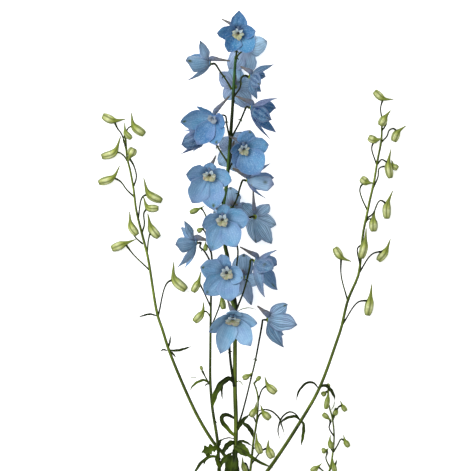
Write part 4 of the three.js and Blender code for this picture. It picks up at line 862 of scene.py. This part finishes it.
def sepalPlace(one, axes, phase):
    # the midline bends from the root to the tip, as (distance from the eye's axis, how far ahead)
    start = np.array([sepal["rootRadius"], sepal["rootAhead"]])
    end = np.array([one["reach"], one["ahead"]])
    bend = start + np.array(sepal["bend"]) * (end - start)
    share, point, roll, *lap = one["cut"]
    overlap = lap[0] if lap else sepal["overlap"]
    breadth = share * min(sepal["breadth"] * np.linalg.norm(end - start), sepal["breadthMost"])
    coarse, fine = sepal["ragged"]
    waves = rng.uniform(*sepal["ruffleSpread"])
    aim = np.array([math.cos(one["angle"]), math.sin(one["angle"]), 0])
    sideways = np.array([-aim[1], aim[0], 0])
    # the turn that shows the outer face from above
    rollTurn = math.radians(roll) * (1 if (np.array(axes)[:3, :3] @ sideways)[2] > 0 else -1)

    def place(u, v):
        radius = (1 - u) ** 2 * start[0] + 2 * u * (1 - u) * bend[0] + u ** 2 * end[0]
        middle = (1 - u) ** 2 * start[1] + 2 * u * (1 - u) * bend[1] + u ** 2 * end[1]
        width = breadth * sepalOutline(u, point)
        # a slightly ragged outline, different on the two edges
        width = width * (1 + coarse * np.sin(11 * u + phase + 2.4 * np.sign(v))
                         + fine * np.sin(27 * u + 2 * phase + np.sign(v)))
        room = np.where(v < 0, one["roomBefore"], one["roomAfter"])
        free = np.minimum(room + overlap * (1 - smoothstep(0.6, 1.0, u)), sepal["spreadMost"])
        angle = one["angle"] + v * np.minimum(width / radius, free)
        rise = np.sin(math.pi * u)
        lift = sepal["twist"] * v * rise + (sepal["cup"] + sepal["fold"] * point) * v ** 2 * rise
        lift = lift - sepal["crease"] * np.exp(-(v / sepal["creaseHalf"]) ** 2) * rise
        lift = lift + sepal["ruffle"] * waves * v ** 2 * u ** 2 * np.sin(9 * u + 4 * v + phase)
        lift = lift + sepal["buckle"] * np.sin(5 * u + 2.2 * v + 2 * phase) * np.sin(7 * v + phase) * rise
        lift = lift + one["pleat"] * np.sin(sepal["pleatsAcross"] * v + phase) * rise
        lift = lift - sepal["tipDrop"] * smoothstep(0.86, 1.0, u)
        points = np.stack([radius * np.cos(angle), radius * np.sin(angle), middle + lift], axis=1)
        if roll:
            spine = np.outer(radius, aim) + np.outer(middle, (0, 0, 1))
            tangent = np.outer((end - start)[0] * np.ones_like(u), aim) + np.outer(
                2 * (1 - u) * (bend - start)[1] + 2 * u * (end - bend)[1], (0, 0, 1))
            tangent /= np.linalg.norm(tangent, axis=1)[:, None]
            offset = points - spine
            turn = (rollTurn * smoothstep(0.0, 0.5, u))[:, None]
            along = tangent * np.sum(tangent * offset, axis=1)[:, None]
            points = spine + offset * np.cos(turn) + np.cross(tangent, offset) * np.sin(turn) \
                + along * (1 - np.cos(turn))
        points = outward(axes, points)
        points[:, 2] = np.maximum(points[:, 2], sepal["lowest"])
        return points

    return place


def makeSepals(number, bloom, axes):
    sheets = []
    throatShadeDepth = throatShadeDepths.get(number, 1)
    for one in sepalPlan(number, bloom, axes):
        phase = rng.uniform(0, 6.28)
        paler, mauver = one["shade"]
        tone = bloomTonesAndPaintedLight[number - 1] + paler + rng.uniform(*sepal["toneSpread"])
        paintedPleatLight = sepal["pleatPaintedLight"] * one["pleat"]
        spotStrength, spotBack = rng.choice(sepal["spots"]), 0
        if one["spot"]:
            spotStrength, spotBack = one["spot"]
        # painted light and shade on the pleats: ridges paler, furrows darker, veins darker where deep
        marks = {"tone": lambda u, v: tone + paintedPleatLight * np.sin(sepal["pleatsAcross"] * v + phase),
                 "spot": spotStrength, "spotBack": spotBack, "veining": min(0.12 + 0.7 * one["pleat"], 0.8),
                 # painted shade in the throat, darkest at the upper sepal
                 "throat": throatShadeDepth * (0.62 + 0.38 * math.sin(one["angle"])),
                 "lean": mauver + rng.uniform(*sepal["leanSpread"])}
        sheets.append(shapedGrid("sepal", sepal["rows"], sepal["columns"], sepalPlace(one, axes, phase),
                                 [sepalFront, sepalBack], marks))
    sheets = joinAll("sepals", sheets)
    closeSeams(sheets, turnOut=False)
    applyModifier(sheets, "SOLIDIFY", thickness=sepal["thickness"] / layout["perMetre"], offset=0,
                  material_offset=1)
    applyModifier(sheets, "SUBSURF", levels=1, render_levels=1)
    return sheets


# the spur, and the small cup that carries the sepals, as (across, up, ahead) of the eye

spurShape = {"inside": [(0, 1.9, -0.3), (0, 4.8, -2.6)], "arch": 0.8, "pucker": 0.07, "flute": 0.05,
             "radii": [1.5, 2.5, 2.75, 2.45, 2.0, 1.6, 1.25, 0.95, 0.6], "sides": 12, "steps": 22}
cupShape = {"behind": [(0, -0.4, -2.3), (0, -0.2, -1.4), (0, 0, -0.7)], "radii": [1.2, 2.1, 2.6, 2.7],
            "ahead": [(0, -0.1, -1.1), (0, 0, -0.5), (0, 0, 0.4)], "floorRadii": [2.7, 3.1, 3.1, 2.4],
            "tone": 0.6, "floorThroatShade": 0.5, "sides": 12, "steps": 6}


def makeSpur(bloom, axes):
    inside = outward(axes, spurShape["inside"])
    tip = spot(bloom["spur"])
    middle = (inside[1] + tip) / 2 + (0, 0, spurShape["arch"])

    def puckered(share, angle):
        return (1 + spurShape["pucker"] * np.sin(34 * share + 2 * angle) * (1 - share)
                + spurShape["flute"] * np.sin(3 * angle + 9 * share))

    radii = [radius * bloom.get("spurGirth", 1) for radius in spurShape["radii"]]
    return tube("spur", [*inside, middle, tip], radii, spurShape, spurSkin, {}, swell=puckered)


def makeCup(axes, tone):
    cup = tube("cup", outward(axes, cupShape["behind"]), cupShape["radii"], cupShape, stemSkin,
               {"tone": cupShape["tone"]})
    # the throat floor carries the painted throat shade at half its depth
    floorMarks = {"tone": tone, "spot": 0, "spotBack": 0, "veining": 0, "throat": cupShape["floorThroatShade"],
                  "lean": 0}
    throatFloor = tube("throat floor", outward(axes, cupShape["ahead"]), cupShape["floorRadii"], cupShape,
                       sepalFront, floorMarks)
    return [cup, throatFloor]


# the bee: two forked lower petals, two small ones at the sides and a narrow upper pair, round a dark throat
# tube of painted shade, for the shadowed opening in its middle

beePetals = [
    {"angle": -132, "reach": 5.6, "height": 3.7, "half": 3.0, "fork": 1.1, "beard": 0.6, "pallor": 0.0},
    {"angle": -50, "reach": 5.9, "height": 3.9, "half": 3.1, "fork": 0.9, "beard": 0.5, "pallor": 0.0},
    {"angle": 176, "reach": 5.4, "height": 4.2, "half": 1.6, "fork": 0.9, "beard": 0.2, "pallor": 0.35},
    {"angle": 8, "reach": 5.1, "height": 4.6, "half": 1.7, "fork": 0.5, "beard": 0.2, "pallor": 0.2},
    {"angle": 128, "reach": 4.6, "height": 5.6, "half": 1.2, "fork": 0.3, "beard": 0.0, "pallor": 0.9},
    {"angle": 62, "reach": 4.9, "height": 5.9, "half": 1.35, "fork": 0.5, "beard": 0.0, "pallor": 1.0},
]
beeShape = {"foot": 1.15, "rows": 9, "columns": 6, "thickness": 0.3, "kinds": 4, "petalTurns": (-9, 9),
            "reaches": (0.88, 1.1), "halves": (0.88, 1.12), "turnMost": 14, "sizes": (0.95, 1.2),
            "fading": (0, 0.3)}
throatShape = {"route": [(0, 0, 1.1), (0, 0.5, 2.4), (0, 1.5, 4.2)], "radii": [0.9, 1.5, 1.5, 1.1],
               "sides": 8, "steps": 5}
hairShape = {"count": 24, "radius": 0.09, "length": 1.5, "lengths": (0.7, 1.2), "turns": (14, 62),
             "distances": (1.6, 3.9), "footHeight": 3.9, "footSpread": (-0.4, 0.5), "beard": 0.5}


def beePetal(petal):
    turn = math.radians(petal["angle"] + rng.uniform(*beeShape["petalTurns"]))
    phase = rng.uniform(0, 6.28)
    reach = petal["reach"] * rng.uniform(*beeShape["reaches"])
    half = petal["half"] * rng.uniform(*beeShape["halves"])

    def place(u, v):
        out = 0.5 + (reach - 0.5) * (0.35 * u + 0.65 * u ** 2)
        out = out - petal["fork"] * np.exp(-(v / 0.3) ** 2) * u ** 4 + 0.35 * v * u ** 2 * math.sin(phase)
        up = beeShape["foot"] + petal["height"] * (1 - (1 - u) ** 1.7) - 0.9 * u ** 5
        across = v * half * (0.25 + 0.75 * np.sin(math.pi * np.clip(u, 0, 1) ** 1.5).clip(0) ** 0.6)
        across = across * (1 - 0.75 * smoothstep(0.85, 1.0, u)) * (1 + 0.12 * np.sin(9 * u + phase))
        up = up + 0.35 * v ** 2 + 0.3 * u * np.sin(5 * v + phase)
        return np.stack([out * math.cos(turn) - across * math.sin(turn),
                         out * math.sin(turn) + across * math.cos(turn), up], axis=1)

    return shapedGrid("bee petal", beeShape["rows"], beeShape["columns"], place, [beeSkin],
                      {"beard": petal["beard"], "pallor": petal["pallor"]})


def makeBee():
    petals = joinAll("bee", [beePetal(petal) for petal in beePetals])
    closeSeams(petals, turnOut=False)
    applyModifier(petals, "SOLIDIFY", thickness=beeShape["thickness"] / layout["perMetre"], offset=0)
    applyModifier(petals, "SUBSURF", levels=1, render_levels=1)
    # a dark tube of painted shade, for the shadowed opening in the middle of the bee
    throat = tube("throat", throatShape["route"], throatShape["radii"], throatShape, beeThroatShade,
                  {"beard": 0.0, "pallor": 0.0})
    hairs = []
    for i in range(hairShape["count"]):
        # to the right and to the left by turns, on the two lower petals
        side = -1 if i % 2 else 1
        turn = math.radians(-90 + side * rng.uniform(*hairShape["turns"]))
        distance = rng.uniform(*hairShape["distances"])
        height = hairShape["footHeight"] + rng.uniform(*hairShape["footSpread"])
        foot = Vector((distance * math.cos(turn), distance * math.sin(turn), height)) / layout["perMetre"]
        lean = Vector((rng.uniform(-0.5, 0.5), rng.uniform(-0.1, 0.8), 1)).normalized()
        length = hairShape["length"] * rng.uniform(*hairShape["lengths"]) / layout["perMetre"]
        bpy.ops.mesh.primitive_cone_add(vertices=3, radius1=hairShape["radius"] / layout["perMetre"],
                                        radius2=0, depth=length, location=foot + lean * length / 2,
                                        rotation=lean.to_track_quat("Z", "Y").to_euler())
        hair = bpy.context.object
        hair.data.materials.append(beeSkin)
        selectOnly(hair)
        bpy.ops.object.transform_apply(location=True, rotation=True, scale=True)
        markAll(hair, "beard", hairShape["beard"])
        hairs.append(hair)
    closeSeams(throat)
    return joinAll("bee", [petals, throat, *hairs])


def placeCopy(master, name, axes, fit):
    piece = master.copy()
    piece.data = master.data.copy()
    piece.name = piece.data.name = name
    bpy.context.collection.objects.link(piece)
    metres = axes.copy()
    metres.translation = axes.translation / layout["perMetre"]
    turn, breadth, height, fading = fit
    turned = Matrix.Rotation(math.radians(turn), 4, "Z")
    piece.data.transform(metres @ turned @ Matrix.Diagonal((breadth, height, 1, 1)))
    markAll(piece, "fading", fading)
    return piece


# buds, stalks, bracts and leaves

budShape = {
    "girth": [0.5, 0.7, 0.8, 0.85, 0.87, 0.86, 0.82, 0.72, 0.56, 0.42, 0.33, 0.27, 0.22, 0.18, 0.13, 0.08],
    "sides": 15, "steps": 22, "swell": 1.09, "lobes": 0.09, "flat": 0.1, "greenAt": (2.6, 4.2),
    "greenShares": (0.85, 0.0), "greenSpread": (0, 0.2),
}
stalkShape = {"radius": 0.78, "flare": (1.7, 1, 1, 1.25), "sides": 7, "steps": 14, "tones": (-0.85, -0.3)}
pedicelShape = {"radii": (1.35, 0.95, 0.88, 0.88, 0.92, 1.0, 1.25), "sides": 8, "steps": 26,
                "ends": [(0, -0.8, -5.5), (0, -0.8, -2.3)], "tones": (-0.95, -0.5)}
leafShape = {"rows": 20, "columns": 6, "thickness": 0.4, "fold": 0.25, "widest": 0.42, "teeth": 0.12,
             "teethAlong": 28, "lowest": 0.3}
bractShape = {"rows": 6, "columns": 2, "thickness": 0.3, "length": 5.2, "breadth": 1.5, "arch": (0, 0, 0.12),
              "tipLean": (0.12, -0.2, 0.1), "tones": (-0.4, 0.4), "smallAt": (0.15, 0.3), "smallLength": 2.6,
              "smallBreadth": 1.0, "smallRise": ((0, 0, 0.3), (0, 0, 0.2))}


def makeBlade(route, breadth, paleness, widest=leafShape["widest"], teeth=leafShape["teeth"],
              shape=leafShape):
    rows = shape["rows"]
    centres, headings = walk(smoothRoute(route), rows)[:2]
    peak = math.log(0.5) / math.log(widest)
    phase = rng.uniform(0, 6.28)

    def place(u, v):
        row = np.rint(u * rows).astype(int)
        heading = headings[row]
        across = np.cross((0, 0, 1), heading)
        across /= np.linalg.norm(across, axis=1)[:, None]
        fold = np.cross(across, heading)
        width = 0.5 * breadth * (0.2 + 0.8 * np.sin(math.pi * u ** peak).clip(0) ** 0.9)
        ragged = 1 + teeth * np.sin(leafShape["teethAlong"] * u + phase + 2 * np.sign(v))
        width = width * ragged * (1 - smoothstep(0.72, 1.0, u))
        points = centres[row] + across * (v * width)[:, None]
        points = points - fold * (leafShape["fold"] * np.abs(v) * width)[:, None]
        points[:, 2] = np.maximum(points[:, 2], leafShape["lowest"])
        return points

    tones = np.atleast_1d(paleness)
    marks = {"tone": lambda u, v: np.interp(u, np.linspace(0, 1, len(tones)), tones)}
    sheet = shapedGrid("blade", rows, shape["columns"], place, [leafSkin], marks)
    closeSeams(sheet, turnOut=False)
    applyModifier(sheet, "SOLIDIFY", thickness=shape["thickness"] / layout["perMetre"], offset=0)
    return sheet


def makeBracts(stalk, small):
    # one bract at the stalk's foot, and where asked, two small ones near its upper end
    line = smoothRoute(stalk)
    foot, beyond = line[-1], line[-1 - len(line) // 4]
    leaving = (beyond - foot) / np.linalg.norm(beyond - foot)
    route = [foot, foot + bractShape["length"] * (0.5 * leaving + bractShape["arch"]),
             foot + bractShape["length"] * (leaving + bractShape["tipLean"])]
    blades = [makeBlade(route, bractShape["breadth"], rng.uniform(*bractShape["tones"]), shape=bractShape)]
    near = line[int(len(line) * rng.uniform(*bractShape["smallAt"]))]
    halfway, full = bractShape["smallRise"]
    for side in (-1, 1) if small else ():
        lean = side * np.cross(leaving, (0, 0, 1)) - 0.9 * leaving
        route = [near, near + bractShape["smallLength"] * 0.5 * lean + halfway,
                 near + bractShape["smallLength"] * lean + full]
        tone = rng.uniform(*bractShape["tones"])
        blades.append(makeBlade(route, bractShape["smallBreadth"], tone, shape=bractShape))
    return blades


def makeBud(bud):
    nose, neck, tip, girth, stalk = bud
    swing = rng.uniform(0, 6.28)

    def lobed(share, angle):
        # five lobes, and a nose that is flatter one way
        ridges = budShape["lobes"] * np.cos(5 * angle) + budShape["flat"] * np.cos(2 * angle) * (
            1 - smoothstep(0.0, 0.15, share))
        return 1 + ridges * (1 - smoothstep(0.45, 0.7, share))

    # painted shade, by how far each place is from the lit top, and how much greener a small bud is
    marks = {"flank": lambda u, v: smoothstep(0.1, 0.7, 1 + np.sin(math.pi * v + swing)),
             "green": np.interp(girth, budShape["greenAt"], budShape["greenShares"])
             + rng.uniform(*budShape["greenSpread"])}
    fullness = [girth * budShape["swell"] * share for share in budShape["girth"]]
    body = tube("bud", [spot(nose), spot(neck), spot(tip)], fullness, budShape, budSkin, marks, swell=lobed,
                turn=swing)
    radii = [stalkShape["radius"] * share for share in stalkShape["flare"]]
    holder = tube("stalk", [spot(neck), *map(spot, stalk)], radii, stalkShape, stemSkin,
                  {"tone": rng.uniform(*stalkShape["tones"])})
    return [body, holder]


def makePedicel(bloom, axes):
    points = [*map(spot, bloom["pedicel"]), *outward(axes, pedicelShape["ends"])]
    radii = [radius * bloom.get("stout", 1) for radius in pedicelShape["radii"]]
    return tube("pedicel", points, radii, pedicelShape, stemSkin,
                {"tone": rng.uniform(*pedicelShape["tones"])})


# how far along each stem it is how pale and how fresh a green
# plain stems also carry the depth of painted shade on the side away from the light
plainStem = {"sides": 10, "steps": 56, "looks": [(0, 0.2, 0), (0.5, 0.45, 0), (1, 0.5, 0)], "paintedShadeSide": 0.75}
stemShapes = {
    "main_stem": {"sides": 14, "steps": 90, "looks": [
        (0, 0.2, 0), (0.46, 0.3, 0), (0.52, 0.5, 0), (0.56, 0.3, 0.2), (0.575, 0.9, 0.4), (0.61, 0.0, 0),
        (0.68, -0.2, 0.2), (0.74, 1.3, 0.8), (0.775, 1.2, 0.8), (0.79, 0.2, 0.6), (0.84, 0.1, 0.6),
        (0.86, -0.4, 0), (0.92, -0.35, 0), (0.935, 0.0, 0.9), (1, 0.35, 1)]},
    "inner_left_stem": {"looks": [(0, 0.3, 0), (0.35, 0.15, 0), (0.5, -0.2, 0), (1, -0.3, 0)]},
}


def makeStem(name, stem, carried):
    shape = {**plainStem, **stemShapes.get(name, {})}
    along, tones, freshness = zip(*shape["looks"])
    # painted shade: the side away from the light is painted darker, ribs and all
    marks = {"tone": lambda u, v: np.interp(u, along, tones)
             - shape["paintedShadeSide"] * smoothstep(0.0, 0.7, np.cos(math.pi * v)),
             "freshness": lambda u, v: np.interp(u, along, freshness)}
    pieces = [tube(name, [spot(place) for place in stem["route"]], stem["radii"], shape, stemSkin, marks)]
    for bud in stem["buds"]:
        pieces.extend(makeBud(bud))
    return pieces + carried


def declare(piece, node):
    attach(piece, "root")
    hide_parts(node)


bees = [makeBee() for _ in range(beeShape["kinds"])]
grownOn = {name: [] for name in stems}
for number, bloom in enumerate(blooms, 1):
    node = f"bloom_{number:02d}"
    axes = bloomAxes(bloom)
    sepals = makeSepals(number, bloom, axes)
    carriers = joinAll("carriers", [makeSpur(bloom, axes), *makeCup(axes, bloomTonesAndPaintedLight[number - 1])])
    closeSeams(carriers)
    declare(joinAll(node + "_sepals", [sepals, carriers]), node)
    # no two bees are quite the same size or quite upright
    anyFit = (rng.uniform(-1, 1) * beeShape["turnMost"], rng.uniform(*beeShape["sizes"]),
              rng.uniform(*beeShape["sizes"]), rng.uniform(*beeShape["fading"]))
    bee = placeCopy(bees[number % len(bees)], node + "_bee_petals", axes, beeFits.get(number, anyFit))
    declare(bee, node + "_bee")
    grownOn[bloom.get("stem", "main_stem")].append(makePedicel(bloom, axes))
for master in bees:
    bpy.data.objects.remove(master)
print("blooms are made")

bladesOn = {name: [] for name in stems}
for name, lobes in leaves.items():
    for route, *form in lobes:
        bladesOn[name].append(makeBlade([spot(place) for place in route], *form))
for bloom in blooms:
    stalk = [spot(place) for place in reversed(bloom["pedicel"])]
    bladesOn[bloom.get("stem", "main_stem")].extend(makeBracts(stalk, small=True))
for name, stem in stems.items():
    for bud in stem["buds"]:
        bladesOn[name].extend(makeBracts([spot(place) for place in (bud[1], *bud[4])], small=False))
    growth = joinAll("growth", makeStem(name, stem, grownOn[name]))
    closeSeams(growth)
    declare(joinAll(name + "_growth", [growth, *bladesOn[name]]), name)
print("stems, buds and leaves are made")
